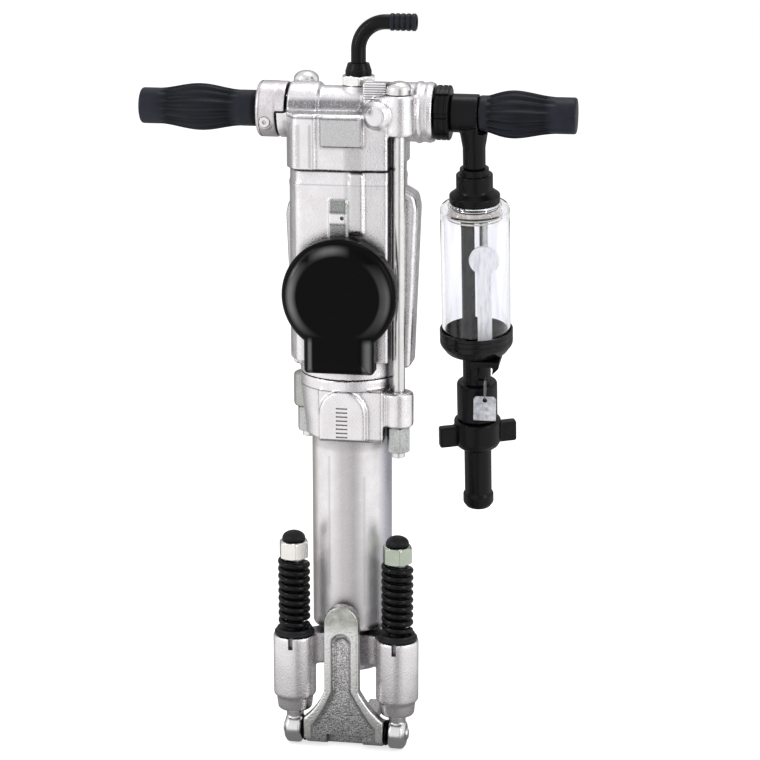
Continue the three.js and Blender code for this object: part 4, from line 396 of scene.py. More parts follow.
class Finish(Nodes):
    """One material: a Principled shader on the object's own coordinates."""

    def __init__(self, name, **constants):
        self.material = bpy.data.materials.new(name)
        self.material.use_nodes = True
        super().__init__(self.material.node_tree)
        self.shader = self.tree.nodes["Principled BSDF"]
        for key, value in constants.items():
            self.shader.inputs[key.replace("_", " ").title().replace("Ior", "IOR")].default_value = value
        self.place = self.node("ShaderNodeTexCoord", {}, out="Object")

    def noise(self, grain, detail, stretch=(1, 1, 1)):
        """Noise whose lumps are about grain metres, drawn out along an axis by stretch."""
        at = self.node("ShaderNodeMapping", {}, Vector=self.place, Scale=[1 / (grain * s) for s in stretch])
        return self.node("ShaderNodeTexNoise", {}, Vector=at, Scale=1.0, Detail=detail, Roughness=0.55)

    def cells(self, grain):
        at = self.node("ShaderNodeMapping", {}, Vector=self.place, Scale=[1 / grain] * 3)
        return self.node("ShaderNodeTexVoronoi", {}, Vector=at, Scale=1.0, out="Distance")

    def axis(self, which):
        """One of the object's own coordinates, in millimetres."""
        return self.node("ShaderNodeSeparateXYZ", {}, self.place, out=which) * (1 / MM)

    def patch(self, x0, x1, y0, y1, z0, z1, soft):
        """1 inside a box, 0 outside it, with soft edges."""
        mask = None
        for which, low, high in ((0, x0, x1), (1, y0, y1), (2, z0, z1)):
            line = self.axis(which)
            side = line.above(low - soft, low + soft) * (1.0 - line.above(high - soft, high + soft))
            mask = side if mask is None else mask * side
        return mask

    def crevice(self, reach):
        """1 in the open, towards 0 in corners narrower than reach."""
        return self.node("ShaderNodeAmbientOcclusion", {"samples": 8}, Distance=reach, out="AO")

    def bump(self, height, depth):
        self.set("Normal", self.node("ShaderNodeBump", {}, Distance=depth, Height=height))

    def set(self, socket, value):
        self.tree.links.new(value.out, self.shader.inputs[socket])


def rgb(red, green, blue):
    return (red, green, blue, 1.0)


def cast_metal(name, pale, dark, grain, rough, depth, speck=0.0, marks=(), satin=None):
    """Cast metal: fine grain, cloudy tone, soil in corners, and marks (box in mm, tone, strength) of another tone."""
    f = Finish(name, metallic=1.0)
    fine = f.noise(grain, 4.0)
    cloud = f.noise(0.016, 3.0)
    corner = f.crevice(0.012).above(0.3, 0.92)
    tone = cloud.above(0.35, 0.68) * 0.5 + fine.above(0.38, 0.64) * 0.5
    color = f.mix(tone, dark, pale)
    if speck:
        spots = f.cells(grain * 2.6).above(0.0, 0.42)
        color = f.mix(spots * speck + (1 - speck), rgb(*(c * 0.35 for c in dark[:3])), color)
    # Marks of another tone; some of them are painted shade, painted shadow or painted reflection.
    for box, shade, strength in marks:
        color = f.mix(f.patch(*box) * (fine.above(0.2, 0.5) * strength), color, shade)
    # Painted shade: the corners that the occlusion mask finds are darkened.
    corner_shade = rgb(*(c * 0.2 for c in dark[:3]))
    f.set("Base Color", f.mix(corner, corner_shade, color))
    rough = fine * 0.24 + cloud * 0.16 + (rough - 0.2)
    if satin:
        matt = f.patch(-45, 45, -45, 45, *satin, 2)
        f.set("Metallic", 1.0 - matt * 0.38)
        rough = rough + matt * 0.08
    f.set("Roughness", rough)
    f.bump(fine * 0.7 + f.cells(grain * 2.2).above(0.0, 0.45) * 0.3, depth)
    return f.material


def turned_metal(name, pale, dark, rough, stretch=(1, 1, 14)):
    """Machined or plated steel with faint tool streaks."""
    f = Finish(name, metallic=1.0)
    streak = f.noise(0.0006, 3.0, stretch)
    cloud = f.noise(0.012, 2.0)
    corner = f.crevice(0.006).above(0.15, 0.75)
    color = f.mix(streak * 0.5 + cloud * 0.5, dark, pale)
    # Painted shade: the corners that the occlusion mask finds are darkened.
    corner_shade = rgb(*(c * 0.3 for c in dark[:3]))
    f.set("Base Color", f.mix(corner, corner_shade, color))
    f.set("Roughness", streak * 0.14 + cloud * 0.12 + (rough - 0.13))
    f.bump(streak, 0.00004)
    return f.material


def kick_forging():
    """Forged retainer: bright rubbed front rims, pitted dull steel in the channel and behind."""
    f = Finish("kick_forging", metallic=1.0)
    fine = f.noise(0.0011, 4.0)
    cloud = f.noise(0.012, 3.0)
    spots = f.cells(0.0026).above(0.05, 0.5)
    front = 1.0 - f.axis(1).above(-54.3, -52.6)
    dull = f.mix(spots * 0.3 + fine.above(0.4, 0.6) * 0.7, rgb(0.12, 0.12, 0.12), rgb(0.92, 0.9, 0.91))
    head = f.axis(2).above(46.0, 60.0)
    rubbed = f.mix(fine.above(0.35, 0.62), rgb(0.74, 0.74, 0.72), rgb(0.98, 0.97, 0.96))
    smooth = f.mix(cloud.above(0.35, 0.7), rgb(0.34, 0.35, 0.31), rgb(0.7, 0.7, 0.66))
    color = f.mix(front, dull, f.mix(head, rubbed, smooth))
    # Painted shade: the corners that the occlusion mask finds are darkened nearly to black.
    corner = f.crevice(0.008).above(0.25, 0.85)
    f.set("Base Color", f.mix(corner, rgb(0.08, 0.08, 0.08), color))
    f.set("Roughness", fine * 0.2 + 0.22)
    f.bump(fine * 0.5 + spots * 0.5, 0.00035)
    return f.material


def black_coat(name, tone, rough, grain, depth, gloss, scuff=0.06, rim=None):
    """Black paint, enamel or oxide with dust and worn spots, polished in places round a rim (centre height, mm)."""
    f = Finish(name, metallic=0.0, specular_ior_level=gloss, coat_roughness=0.22, coat_ior=2.4)
    fine = f.noise(grain, 4.0)
    cloud = f.noise(0.02, 4.0)
    worn = cloud.above(0.55, 0.8) * fine.above(0.45, 0.7)
    f.set("Base Color", f.mix(worn, tone, rgb(*(c + scuff * 0.35 for c in tone[:3]))))
    f.set("Roughness", cloud * 0.2 + fine * 0.12 + (rough - 0.16))
    if rim:
        across, up = f.axis(0), f.axis(2) - rim
        reach = f.node("ShaderNodeMath", {"operation": "SQRT"}, across * across + up * up)
        band = reach.above(39.0, 44.0) * (1.0 - reach.above(46.0, 50.0))
        beside = 1.0 - abs(up + 2.0).above(10.0, 36.0)
        over = (1.0 - abs(across + 8.0).above(4.0, 20.0)) * up.above(20.0, 30.0) * 0.8
        stem = 1.0 - up.above(-44.0, -38.0)
        left = 1.0 - abs(across + 26.5).above(0.8, 2.8)
        right = 1.0 - abs(across - 27.0).above(2.0, 5.0)
        f.set("Coat Weight", band * (beside + over) + stem * (left + right) * 0.8)
    f.bump(fine, depth)
    return f.material


def rubber(name, tone, rough):
    """Moulded rubber: matt, with fine skin, dusty on its ridges and dark in its flutes."""
    f = Finish(name, specular_ior_level=0.14)
    fine = f.noise(0.0012, 5.0)
    cloud = f.noise(0.025, 3.0)
    # The occlusion mask is 1 on the open ridges, which take lighter tones of dust and painted highlight, and falls in
    # the flutes, which are darkened as painted shade.
    lit_ridge_mask = f.crevice(0.008).above(0.86, 0.99)
    sheen_dust, heavy_sheen_dust = (rgb(*(c * lift + haze for c in tone[:3])) for lift, haze in ((2.2, 0.006), (3.4, 0.012)))
    dust_and_sheen = f.mix(cloud.above(0.3, 0.8), sheen_dust, heavy_sheen_dust)
    f.set("Base Color", f.mix(lit_ridge_mask, rgb(*(c * 0.4 for c in tone[:3])), dust_and_sheen))
    f.set("Roughness", fine * 0.15 + cloud * 0.2 + (rough - 0.17))
    f.bump(fine, 0.0001)
    return f.material


def clear_cup():
    """Clear moulded plastic with a faint oil mist."""
    f = Finish("clear_plastic", transmission_weight=1.0, ior=1.42, metallic=0.0)
    mist = f.noise(0.009, 2.0, (1, 1, 25))
    f.set("Base Color", f.mix(mist.above(0.4, 0.62), rgb(0.975, 0.975, 0.985), rgb(0.85, 0.85, 0.895)))
    f.set("Roughness", mist.above(0.45, 0.8) * 0.05 + 0.02)
    return f.material


def pale_plastic(name, pale, dark, rough, painted_glow):
    """Milky moulded plastic; glow stands for the light that soaks through it."""
    f = Finish(name, coat_weight=0.3, coat_roughness=0.15, emission_color=pale, emission_strength=painted_glow)
    cloud = f.noise(0.003, 3.0, (1, 1, 8))
    f.set("Base Color", f.mix(cloud.above(0.3, 0.6), dark, pale))
    f.set("Roughness", cloud * 0.2 + (rough - 0.1))
    f.bump(cloud, 0.0001)
    return f.material


def paper():
    """Crumpled blank card."""
    f = Finish("tag_card")
    crease = f.noise(0.004, 4.0)
    # Painted shade: the colour darkens with the same noise that sinks the bump, so the creases go darker.
    f.set("Base Color", f.mix(crease.above(0.35, 0.65), rgb(0.42, 0.42, 0.47), rgb(0.78, 0.78, 0.82)))
    f.set("Roughness", crease * 0.2 + 0.5)
    f.bump(crease, 0.0008)
    return f.material


GREY, DULL, LINE = rgb(0.5, 0.5, 0.5), rgb(0.2, 0.22, 0.2), rgb(0.012, 0.012, 0.014)
# A dark grey for painted reflection and painted shadow bands.
PAINTED_DARK_GREY = rgb(0.24, 0.24, 0.25)
UPPER_TONES_AND_PAINTED_LIGHT = [
    ((-90, 90, -90, 90, 496.0, 499.0, 0.4), LINE, 1.0),
    ((-90, 44, -90, -20, 483.6, 484.8, 0.4), GREY, 0.7),
    ((-21, 20.5, -60, -47, 518, 548, 1), GREY, 0.8),
    ((-43.5, -39, -60, 0, 500, 540, 0.8), GREY, 0.6),
    ((-31, -28.5, -60, 0, 500, 540, 0.8), GREY, 0.8),
    ((-60, -49.5, -60, 60, 320, 540, 1.5), GREY, 0.8),
    # Painted reflection: a dark band along the front of the handle barrel.
    ((-57, 29, -60, -9, 551.0, 560.0, 2.0), PAINTED_DARK_GREY, 1.0),
    # Painted shadow: a dark line on the skirt just under the handle barrel.
    ((-57, 16, -60, -9, 545.4, 547.2, 0.8), LINE, 0.7),
    ((2, 18.5, -60, -30, 436, 518, 1.5), GREY, 0.55),
    ((-11.5, 4, -60, -30, 457.5, 471, 0.8), DULL, 0.9),
    ((-11.5, 4, -60, -30, 425, 449, 0.8), DULL, 0.9),
]
TUBE_TONES_AND_PAINTED_LIGHT = [
    # Painted reflection: a grey band down the front of the tube.
    ((-8, 13, -60, -20, 62, 236, 5), rgb(0.5, 0.47, 0.48), 0.75),
    ((-17, -15, -60, -20, 90, 220, 0.8), rgb(0.5, 0.47, 0.48), 0.5),
    ((17, 19, -60, -20, 70, 200, 0.8), rgb(0.55, 0.52, 0.53), 0.5),
    # Painted shadow: a band round the tube under its collar.
    ((-60, 60, -60, 60, 226, 238, 2), rgb(0.5, 0.48, 0.47), 0.5),
    ((-60, 60, -60, 60, 286.6, 287.8, 0.4), LINE, 0.7),
    # Painted shadow: a dark band at the foot of the collar, under the flange.
    ((-30, 42, -60, -40, 237.8, 241.4, 0.7), PAINTED_DARK_GREY, 0.9),
    # Painted shade on the back-left lug and the left side of the cone.
    ((-70, -38, 10, 60, 236, 290, 1), rgb(0.36, 0.38, 0.34), 0.9),
    # Painted reflection: darker bands down the tube's left and right edges.
    ((-55, -31, -45, 45, 45, 236, 3), rgb(0.4, 0.33, 0.29), 0.8),
    ((32.5, 55, -45, 45, 45, 236, 3), rgb(0.38, 0.38, 0.46), 0.8),
]
FINISHES = {}


def make_finishes():
    """Every finish of the drill, by name."""
    look = bpy.context.scene.rock_drill
    pale, dark = (*look.casting_pale, 1.0), (*look.casting_dark, 1.0)
    silver = (pale, dark, 0.0011, 0.28, 0.00025)
    black = (*look.black, 1.0)
    faint = rgb(*(c * 0.6 for c in look.black))
    FINISHES.update({
        "cast_silver": cast_metal("bright_casting", *silver),
        "upper_silver": cast_metal("upper_casting", *silver, marks=UPPER_TONES_AND_PAINTED_LIGHT),
        "tube_silver": cast_metal("tube_casting", *silver, marks=TUBE_TONES_AND_PAINTED_LIGHT, satin=(50, 236)),
        "pink_cast": cast_metal("collar_casting", rgb(0.9, 0.87, 0.88), rgb(0.56, 0.53, 0.54), 0.0011, 0.34, 0.00025),
        "forged_steel": cast_metal("rough_forging", rgb(0.7, 0.71, 0.7), rgb(0.4, 0.41, 0.4), 0.0012, 0.36, 0.0003,
                                   speck=0.5),
        "kick_forging": kick_forging(),
        "machined_steel": turned_metal("machined_steel", rgb(0.92, 0.91, 0.9), rgb(0.68, 0.67, 0.66), 0.24),
        "wire_steel": turned_metal("wire_steel", rgb(0.3, 0.3, 0.32), rgb(0.16, 0.16, 0.17), 0.32, (1, 1, 1)),
        "zinc_bright": turned_metal("bright_plating", rgb(0.96, 0.94, 0.9), rgb(0.78, 0.76, 0.72), 0.2, (1, 1, 3)),
        "zinc_green": turned_metal("green_plating", rgb(0.6, 0.65, 0.56), rgb(0.32, 0.36, 0.29), 0.22, (1, 1, 3)),
        "black_paint": black_coat("black_paint", black, 0.26, 0.0012, 0.00008, 0.16),
        "bowl_gloss": black_coat("moulded_bowl", black, 0.16, 0.003, 0.00003, 0.25, 0.02),
        "gloss_black": black_coat("black_enamel", faint, 0.24, 0.0018, 0.00006, 0.06, 0.01, rim=MUFFLER_Z),
        "grip_rubber": rubber("grip_rubber", rgb(*(c * k for c, k in zip(look.black, (1.0, 1.1, 1.5)))), 0.36),
        "seal_rubber": rubber("seal_rubber", black, 0.34),
        "cap_rubber": rubber("cap_rubber", faint, 0.4),
        "black_spring": black_coat("spring_enamel", faint, 0.2, 0.002, 0.00003, 0.2, 0.01),
        "bronze": turned_metal("bronze", rgb(0.62, 0.42, 0.2), rgb(0.42, 0.27, 0.12), 0.36),
        "clear_cup": clear_cup(),
        # The feed key glows: painted light for the light that soaks through it.
        "white_plastic": pale_plastic("milky_plastic", rgb(0.95, 0.95, 0.96), rgb(0.62, 0.63, 0.68), 0.3, 0.25),
        # The cup's threads are pale and glow: painted glints.
        "thread_glint": pale_plastic("thread_plastic", rgb(0.72, 0.67, 0.62), rgb(0.48, 0.44, 0.41), 0.25, 0.15),
        "tag_card": paper(),
    })


SLOTS = {
    "machined_steel": ("water_tube", "throttle_tube", "retainer_pin", "rifle_bar", "pawl_1", "pawl_2", "pawl_3",
                       "pawl_4", "distribution_valve", "piston", "rotation_sleeve", "chuck"),
    "forged_steel": ("oil_feed_tube", "ratchet_ring", "chuck_bushing"),
    "black_paint": ("oiler_air_tube",),
    "seal_rubber": ("water_tube_seal",),
    "white_plastic": ("oil_feed_key",),
    "tag_card": ("tag",),
    "wire_steel": ("tag_wire",),
    "bronze": ("inlet_strainer", "valve_chest", "valve_cover", "rifle_nut", "piston_guide_bush", "nose_bush"),
}


# ---------------------------------------------------------------- places and heights shared by the pieces

# JOINT is the seam under the rear head, HANDLE the height of the handle's axis, CROWN the rear head's top; PAST is
# how far a cut runs beyond the face it opens.
JOINT = 497.6
HANDLE = 547.3
CROWN = 571.3
LUG_TOP = 567.3
CYLINDER_LOW = 298.3
CYLINDER_HIGH = 497.3
FLANGE_TOP = 298.0
CONE_TOP = 288.0
TUBE_TOP = 237.5
MUFFLER_Z = 383.2
MUFFLER_FOOT = 309.0
RODS = ((50.5, -31.0), (-49.0, 31.0))
WATER_X = 7.0
BOLT_X, BOLT_Y = 50.8, -37.0
BOSS_TOP = 39.5
SPRING_LOW, SPRING_HIGH = 46.3, 117.3
LEAN = math.radians(9.0)
BRANCH_X = 115.5
PIN_Z = -59.0
SCREW_X, SCREW_Z = -77.7, HANDLE - 9.5
ON_HANDLE, ON_WATER, ON_PIN = (0, 0, HANDLE), (WATER_X, 0, 0), (0, BOLT_Y, PIN_Z)
MUFFLER_R, STEM_HALF = 54.2, 33.2
PAST = 2.0
GRIP_SIDES = 240


def body_plan(grow, proud):
    """Plan of the body under the handle."""
    left, right, front, back = -53.5 - grow, 49.0 + grow, -47.0 - grow, 46.0 + grow
    return [
        (left + 10.5, front - proud, 7), (-26.0, front - proud, 1.5), (proud - 26.0, front, 1), (4.0, front, 2),
        (42.0, front + 3.5, 2.5), (42.0, -23.0, 5), (right, -23.0, 3.5), (right, back - 17.0, 6),
        (right - 10.5, back, 6), (-39.0, back, 3), (-39.0, 21.0, 4), (left, 21.0, 3), (left, front + 17.0, 7),
    ]


def lug(x, y, radius, low, high, web_radius):
    """A round boss for a side rod with a web towards the drill's axis."""
    reach, edge = math.hypot(x, y), 3.0
    ux, uy = x / reach, y / reach
    side = (-uy * radius, ux * radius)
    root = (ux * web_radius, uy * web_radius)
    web = [(root[0] - side[0], root[1] - side[1]), (x - side[0], y - side[1]),
           (x + side[0], y + side[1]), (root[0] + side[0], root[1] + side[1])]
    return [rod(radius, low, high, "Z", (x, y, 0), 96, edge), prism(web, "Z", low + edge * 0.6, high - edge * 0.6)]


def rod_holes(radius, low, high):
    """A round solid on the line of each side rod."""
    return [rod(radius, low, high, at=(x, y, 0)) for x, y in RODS]


def keyhole(inset):
    """Outline of the muffler drawn in all round, always with the same number of points."""
    radius, half, foot = MUFFLER_R - inset, STEM_HALF - inset, MUFFLER_FOOT + inset
    meet = math.asin(half / radius)
    neck = MUFFLER_Z - math.sqrt(radius * radius - half * half)
    corner = max(4.0 - inset * 0.4, 0.4)
    stem = [(half - corner + corner * math.sin(a), foot + corner - corner * math.cos(a))
            for a in spread(0.0, math.pi / 2, 7)]
    stem += [(half, foot + corner + (neck - foot - corner) * k / 12) for k in range(1, 12)]
    arc = [(radius * math.cos(a), MUFFLER_Z + radius * math.sin(a))
           for a in spread(meet - math.pi / 2, 1.5 * math.pi - meet, 121)]
    return stem + arc + [(-x, z) for x, z in stem[::-1]]


def build_rear_head():
    """Skirt, handle barrel, inlet boss, rod lugs and stop dog in one casting."""
    plan, lug_low = body_plan(2.0, 1.7), LUG_TOP - 38.0
    barrel = turned([(0, -57.2), (26.6, -57.2, 2.2), (26.6, -29.2, 2.5), (23.0, -26.5, 3), (23.0, 43.5, 3),
                     (27.6, 47.5, 2.5), (27.6, 79.7, 1.6), (0, 79.7)], "X", ON_HANDLE, 144)
    ridges = [rod(r, x, x + w, "X", ON_HANDLE, 144, 0.8) for r, x, w in ((29.0, 63.5, 4.0), (28.4, 73.4, 3.0))]
    knob = turned([(0, -52.0), (8.5, -52.0, 3), (13.2, -47.0, 3), (14.0, -40.0, 2), (14.0, -20.0), (0, -20.0)],
                  "Y", (32.0, 0, HANDLE + 2.0), 96)
    dog = prism(sector(18.0, 26.6, 180.0, 316.0), "X", -66.5, -50.0)
    solids = [
        rod(34.7, JOINT - 6.0, JOINT + 8.0, sides=128), prism(plan, "Z", JOINT, JOINT + 52.2, 2.0), barrel, *ridges,
        prism([(16.7, -34.0, 3), (42.0, -34.0, 3), (42.0, 30.0, 4), (16.7, 30.0, 4)], "Z", JOINT + 26.0, CROWN, 2.5),
        prism(rectangle(16.7, 42.0, -34.0, -17.0, 2), "Z", HANDLE, CROWN + 6.3, 1.5),
        knob, moved(dog, *ON_HANDLE),
        *[solid for (x, y), radius in zip(RODS, (15.2, 13.0)) for solid in lug(x, y, radius, lug_low, LUG_TOP, 23.5)],
        prism(rectangle(-19.5, 19.5, HANDLE - 26.5, HANDLE, 1), "Y", -53.0, -22.0, 1.2),
        rod(15.0, HANDLE, CROWN, at=ON_WATER, sides=96),
    ]
    bores = [rod(17.0, -90.0, -20.0, "X", ON_HANDLE, 96), rod(14.0, 22.0, 90.0, "X", ON_HANDLE, 96)]
    grooves = [block(15.5, 43.0, -36.0, -33.1, z, z + 0.9) for z in spread(562.4, 575.6, 7)]
    cuts = [
        rod_holes(6.5, JOINT - 8, LUG_TOP + 4) + bores,
        rod_holes(12.3, LUG_TOP, LUG_TOP + 40) + [rod(18.2, CROWN, CROWN + 30, at=ON_WATER, sides=96)],
        [rod(8.9, CROWN - 14.3, CROWN + PAST, at=ON_WATER), rod(6.0, JOINT - 8, HANDLE, at=(-28.0, 0, 0))],
        grooves,
        [moved(prism(sector(1.0, 27.0, -43.0, 60.0), "X", -74.0, -58.8), *ON_HANDLE)],
    ]
    made = casting("rear_head_casting", solids, cuts, 1.1, 4)
    finish_piece(made, "machine", "cast_silver", ["rear_head"], "upper_silver")


def port_housing(side):
    """The long swelling down one side of the cylinder; the left one is lower and shallower."""
    left = side < 0
    foot, inner = CYLINDER_LOW + 6.0, 40.0
    top = CYLINDER_HIGH - (26.0 if left else 18.0)
    reach, foot_reach = (60.5, 54.5) if left else (65.5, 59.3)
    line = [(side * inner, foot), (side * foot_reach, foot, 5), (side * reach, top - 21.0, 7),
            (side * (reach - 2.5), top - 9.0, 8), (side * (reach - 13.0), top - 3.0, 6), (side * inner, top)]
    return prism(line, "Y", -17.0, 17.0, 5.0)


def build_cylinder():
    """Bored barrel with its port housings, muffler seat and valve pads."""
    body = prism(body_plan(0.0, 0.0), "Z", 315.0, CYLINDER_HIGH - 10.0, 2.0)
    band = prism(body_plan(-0.5, 0.0), "Z", CYLINDER_HIGH - 13.5, CYLINDER_HIGH, 1.0)
    rib = prism(body_plan(0.4, 0.0), "Z", CYLINDER_HIGH - 16.5, CYLINDER_HIGH - 11.5, 1.2)
    seat = prism(keyhole(4.8), "Y", -57.0, -42.5)
    pad_top = MUFFLER_Z + MUFFLER_R + 34.0
    solids = [
        turned([(0, CYLINDER_LOW), (49.2, CYLINDER_LOW, 0.8), (49.2, 317.5, 2), (0, 317.5)], sides=160),
        body, band, rib, port_housing(-1), port_housing(1), seat,
        block(-36.0, 36.0, -43.0, -23.0, MUFFLER_Z - 44.0, MUFFLER_Z + 44.0),
        prism([(-12.5, MUFFLER_Z, 0), (4.5, MUFFLER_Z, 0), (4.5, pad_top, 2.5), (-12.5, pad_top, 2.5)], "Y",
              -49.5, -23.0, 0.8),
        prism(rectangle(7.0, 19.5, CYLINDER_HIGH - 58.0, CYLINDER_HIGH - 2.5, 1), "Y", -48.2, -23.0, 0.5),
    ]
    low, high = CYLINDER_LOW - PAST, CYLINDER_HIGH + PAST
    marks = [
        block(-11.5, 3.5, -51.0, -48.9, pad_top - 12.2, pad_top - 11.0),
        block(-11.5, 3.5, -51.0, -48.9, pad_top - 24.4, pad_top - 23.2),
        rod(1.9, -52.0, -46.5, "Y", (0.2, 0, pad_top - 17.6), 32),
    ]
    cuts = [[rod(35.0, low, high, sides=160)], rod_holes(7.0, low, high),
            [rod(12.0, -60.0, -17.0, "Y", (0, 0, MUFFLER_Z))], marks]
    made = casting("cylinder_casting", solids, cuts, 1.15, 4)
    finish_piece(made, "machine", "cast_silver", ["cylinder"], "upper_silver")


def build_front_head():
    """Tube with its flared flange, rod lugs and the bosses of the retainer bolts."""
    barrel = turned([(0, 0), (30.0, 0, 1.2), (30.0, 43.0, 2.5), (38.6, 43.0, 2), (38.6, TUBE_TOP, 2),
                     (44.5, TUBE_TOP, 1.5), (44.5, TUBE_TOP + 8.0, 2), (49.5, CONE_TOP, 2), (49.5, FLANGE_TOP, 0.8),
                     (0, FLANGE_TOP)], sides=176)
    half, foot = 22.25, TUBE_TOP + 2.5
    arch = [(-half, foot)] + [(half * math.cos(a), CONE_TOP - half + half * math.sin(a))
                              for a in spread(0.0, math.pi, 40)][::-1] + [(half, foot)]
    bosses = []
    for side in (-1, 1):
        x = side * BOLT_X
        boss = turned([(0, -37.7), (16.5, -37.7, 2), (18.3, -22.7, 2), (20.8, -22.7, 1.5), (20.8, BOSS_TOP, 1.2),
                       (0, BOSS_TOP)], sides=128)
        web = [(0, 11.0), (0, -27.5), (x, BOLT_Y - 5.5), (x, BOLT_Y + 11.0)]
        bosses += [moved(boss, x, BOLT_Y, 0), prism(web, "Z", 8.0, BOSS_TOP)]
    solids = [
        barrel, prism(arch, "Y", -51.6, -19.3, 1.6),
        prism([(-24.0, -46.0, 2), (38.0, -46.0, 2), (38.0, -19.0), (-24.0, -19.0)], "Z", TUBE_TOP, CONE_TOP, 1.0),
        *[solid for x, y in RODS for solid in lug(x, y, 14.5, FLANGE_TOP - 46.0, FLANGE_TOP - 12.0, 33.6)],
        *bosses,
    ]
    bolts = [rod(9.0, -40.0, BOSS_TOP + PAST, at=(side * BOLT_X, BOLT_Y, 0)) for side in (-1, 1)]
    slots = [block(side * BOLT_X - 2.2, side * BOLT_X + 2.2, BOLT_Y - 23.0, BOLT_Y - 15.8, BOSS_TOP - 11.0,
                   BOSS_TOP + 3) for side in (-1, 1)]
    ribs = [block(-6.0, 5.0, -53.0, -50.2, z, z + 1.5) for z in spread(243.0, 271.0, 8)]
    bore = turned([(0, -PAST), (22.0, -PAST), (22.0, 12.0), (25.0, 12.0), (25.0, 49.0), (31.0, 49.0),
                   (31.0, FLANGE_TOP + PAST), (0, FLANGE_TOP + PAST)], sides=144)
    cuts = [[bore], rod_holes(6.5, 250.0, FLANGE_TOP + PAST) + bolts, slots + ribs]
    made = casting("front_head_casting", solids, cuts, 1.3, 4)
    finish_piece(made, "machine", "cast_silver", ["front_head"], "tube_silver")


def build_muffler():
    """A pressed cover: flat face, rounded rim, hollow behind, with its outlet under the foot."""
    face, back, floor, wall = -74.0, -52.0, -69.6, 9.0
    rim_wide, rim_deep = 17.0, 9.0

    def level(inset, y, share=1.0):
        return [(u * share, y, MUFFLER_Z + (v - MUFFLER_Z) * share) for u, v in keyhole(inset)]

    rim = [[(u, y, v) for u, v in keyhole(inset)] for inset, y in
           [(rim_wide * (1 - math.sin(a)), face + rim_deep * (1 - math.cos(a))) for a in spread(0.0, math.pi / 2, 13)]
           + [(0.0, back), (4.4, back), (4.4, -66.0), (wall, floor)]]
    middle = 0.02
    made = mesh_object("muffler_shell", [skin([level(rim_wide, face, middle)] + rim + [level(wall, floor, middle)])])
    cut_away(made, [[block(-24.2, 24.2, -65.3, -57.3, MUFFLER_FOOT - PAST, MUFFLER_FOOT + 7)]])
    finish_piece(made, "machine", "gloss_black", ["muffler_cover"], sharp=50)


def swung(solid, branch=True):
    """From the swivel's own frame, handle axis at 0 and oiler hanging straight down, to its resting lean."""
    points, faces = solid
    shift, c, s = BRANCH_X if branch else 0.0, math.cos(LEAN), math.sin(LEAN)
    return [(x + shift, y * c - z * s, y * s + z * c + HANDLE) for x, y, z in points], faces


def yawed(solid, degrees):
    """Turned about the Z axis."""
    points, faces = solid
    c, s = math.cos(math.radians(degrees)), math.sin(math.radians(degrees))
    return [(x * c - y * s, x * s + y * c, z) for x, y, z in points], faces


def box_mm(node):
    """Lowest and highest corner of a CAD node, in millimetres."""
    low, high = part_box(node)
    return low / MM, high / MM


def build_side_rods():
    """Side rods with domed heads and a hexagon nut each."""
    for name, (x, y) in zip(("front", "back"), RODS):
        low, high = box_mm("side_rod_" + name)
        head = LUG_TOP + 0.3
        radius, rim = 12.0, head + 4.5
        profile = [(0, low.z), (6.2, low.z, 1.0), (6.2, head), (radius, head, 0.8), (radius, rim),
                   *dome(radius, rim, high.z, 12)]
        piece("side_rod_bar_" + name, [turned(profile, at=(x, y, 0), sides=96)], "machine", "machined_steel",
              ["side_rod_" + name])
        low, high = box_mm("side_rod_nut_" + name)
        piece("side_rod_hex_" + name, [hex_nut(20.2, low.z, high.z, 6.5, (x, y, 0), math.radians(18))], "machine",
              "forged_steel", ["side_rod_nut_" + name])


def build_water_inlet():
    """Hexagon bush and the knurled gland nut on it."""
    low, high = box_mm("water_inlet_bush")
    bush = mesh_object("inlet_bush", [hex_nut(29.8, CROWN + 0.3, high.z, 7.5, ON_WATER, math.radians(10)),
                                      rod(8.5, low.z, CROWN + 1, at=ON_WATER)])
    cut_away(bush, [[rod(4.5, low.z - 1, high.z + 1, at=ON_WATER)]])
    finish_piece(bush, "machine", "machined_steel", ["water_inlet_bush"])
    low, high = box_mm("water_gland_nut")
    wide, taper, taper_from, teeth, tooth = 12.35, 2.3, 0.35, 26, 0.35

    def knurled(height, angle):
        share = (height - low.z) / (high.z - low.z)
        radius = wide - taper * max(0.0, share - taper_from) / (1.0 - taper_from)
        return radius - (tooth if 0.08 < share < 0.4 and math.sin(angle * teeth) > 0.2 else 0.0)

    ends = edge_heights(low.z, high.z, 0.7, 2)
    heights = ends[:3] + spread(low.z + 0.9, high.z - 0.9, 12) + ends[3:]
    piece("gland_nut", [polar(heights, knurled, "Z", ON_WATER, 208, 8.9)], "machine", "black_paint",
          ["water_gland_nut"])


def build_water_elbow():
    """Bent water pipe and the ribbed ferrule on its end."""
    low, high = box_mm("water_elbow")
    bend_z, bend = 630.3, 26.0
    path = [(WATER_X, 0, z) for z in spread(low.z, bend_z - bend, 8)]
    path += [(WATER_X + bend - bend * math.cos(a), 0, bend_z - bend + bend * math.sin(a))
             for a in spread(0.06, math.pi / 2, 24)]
    path += [(x, 0, bend_z) for x in spread(WATER_X + bend + 1.0, high.x, 8)]
    foot = turned([(0, low.z), (8.3, low.z, 0.5), (8.3, low.z + 3.0, 0.5), (0, low.z + 3.0)], at=ON_WATER)
    piece("water_pipe", [tube(path, 7.0, 48), foot], "water_elbow", "black_paint", ["water_elbow"])
    low, high = box_mm("hose_ferrule")
    heights = spread(low.x, high.x, 90)
    wide, pitch, groove, chamfer = 8.1, 5.1, 0.9, 0.7

    def ribbed(x, _):
        near = min(x - low.x, high.x - x)
        rib = 0.5 + 0.5 * math.cos((x - low.x) * 2 * math.pi / pitch)
        return wide - groove * rib ** 3 - max(0.0, 1.0 - near) * chamfer

    piece("ribbed_ferrule", [polar(heights, ribbed, "X", (0, 0, bend_z), 96, 4.6)], "water_elbow", "grip_rubber",
          ["hose_ferrule"], sharp=50)


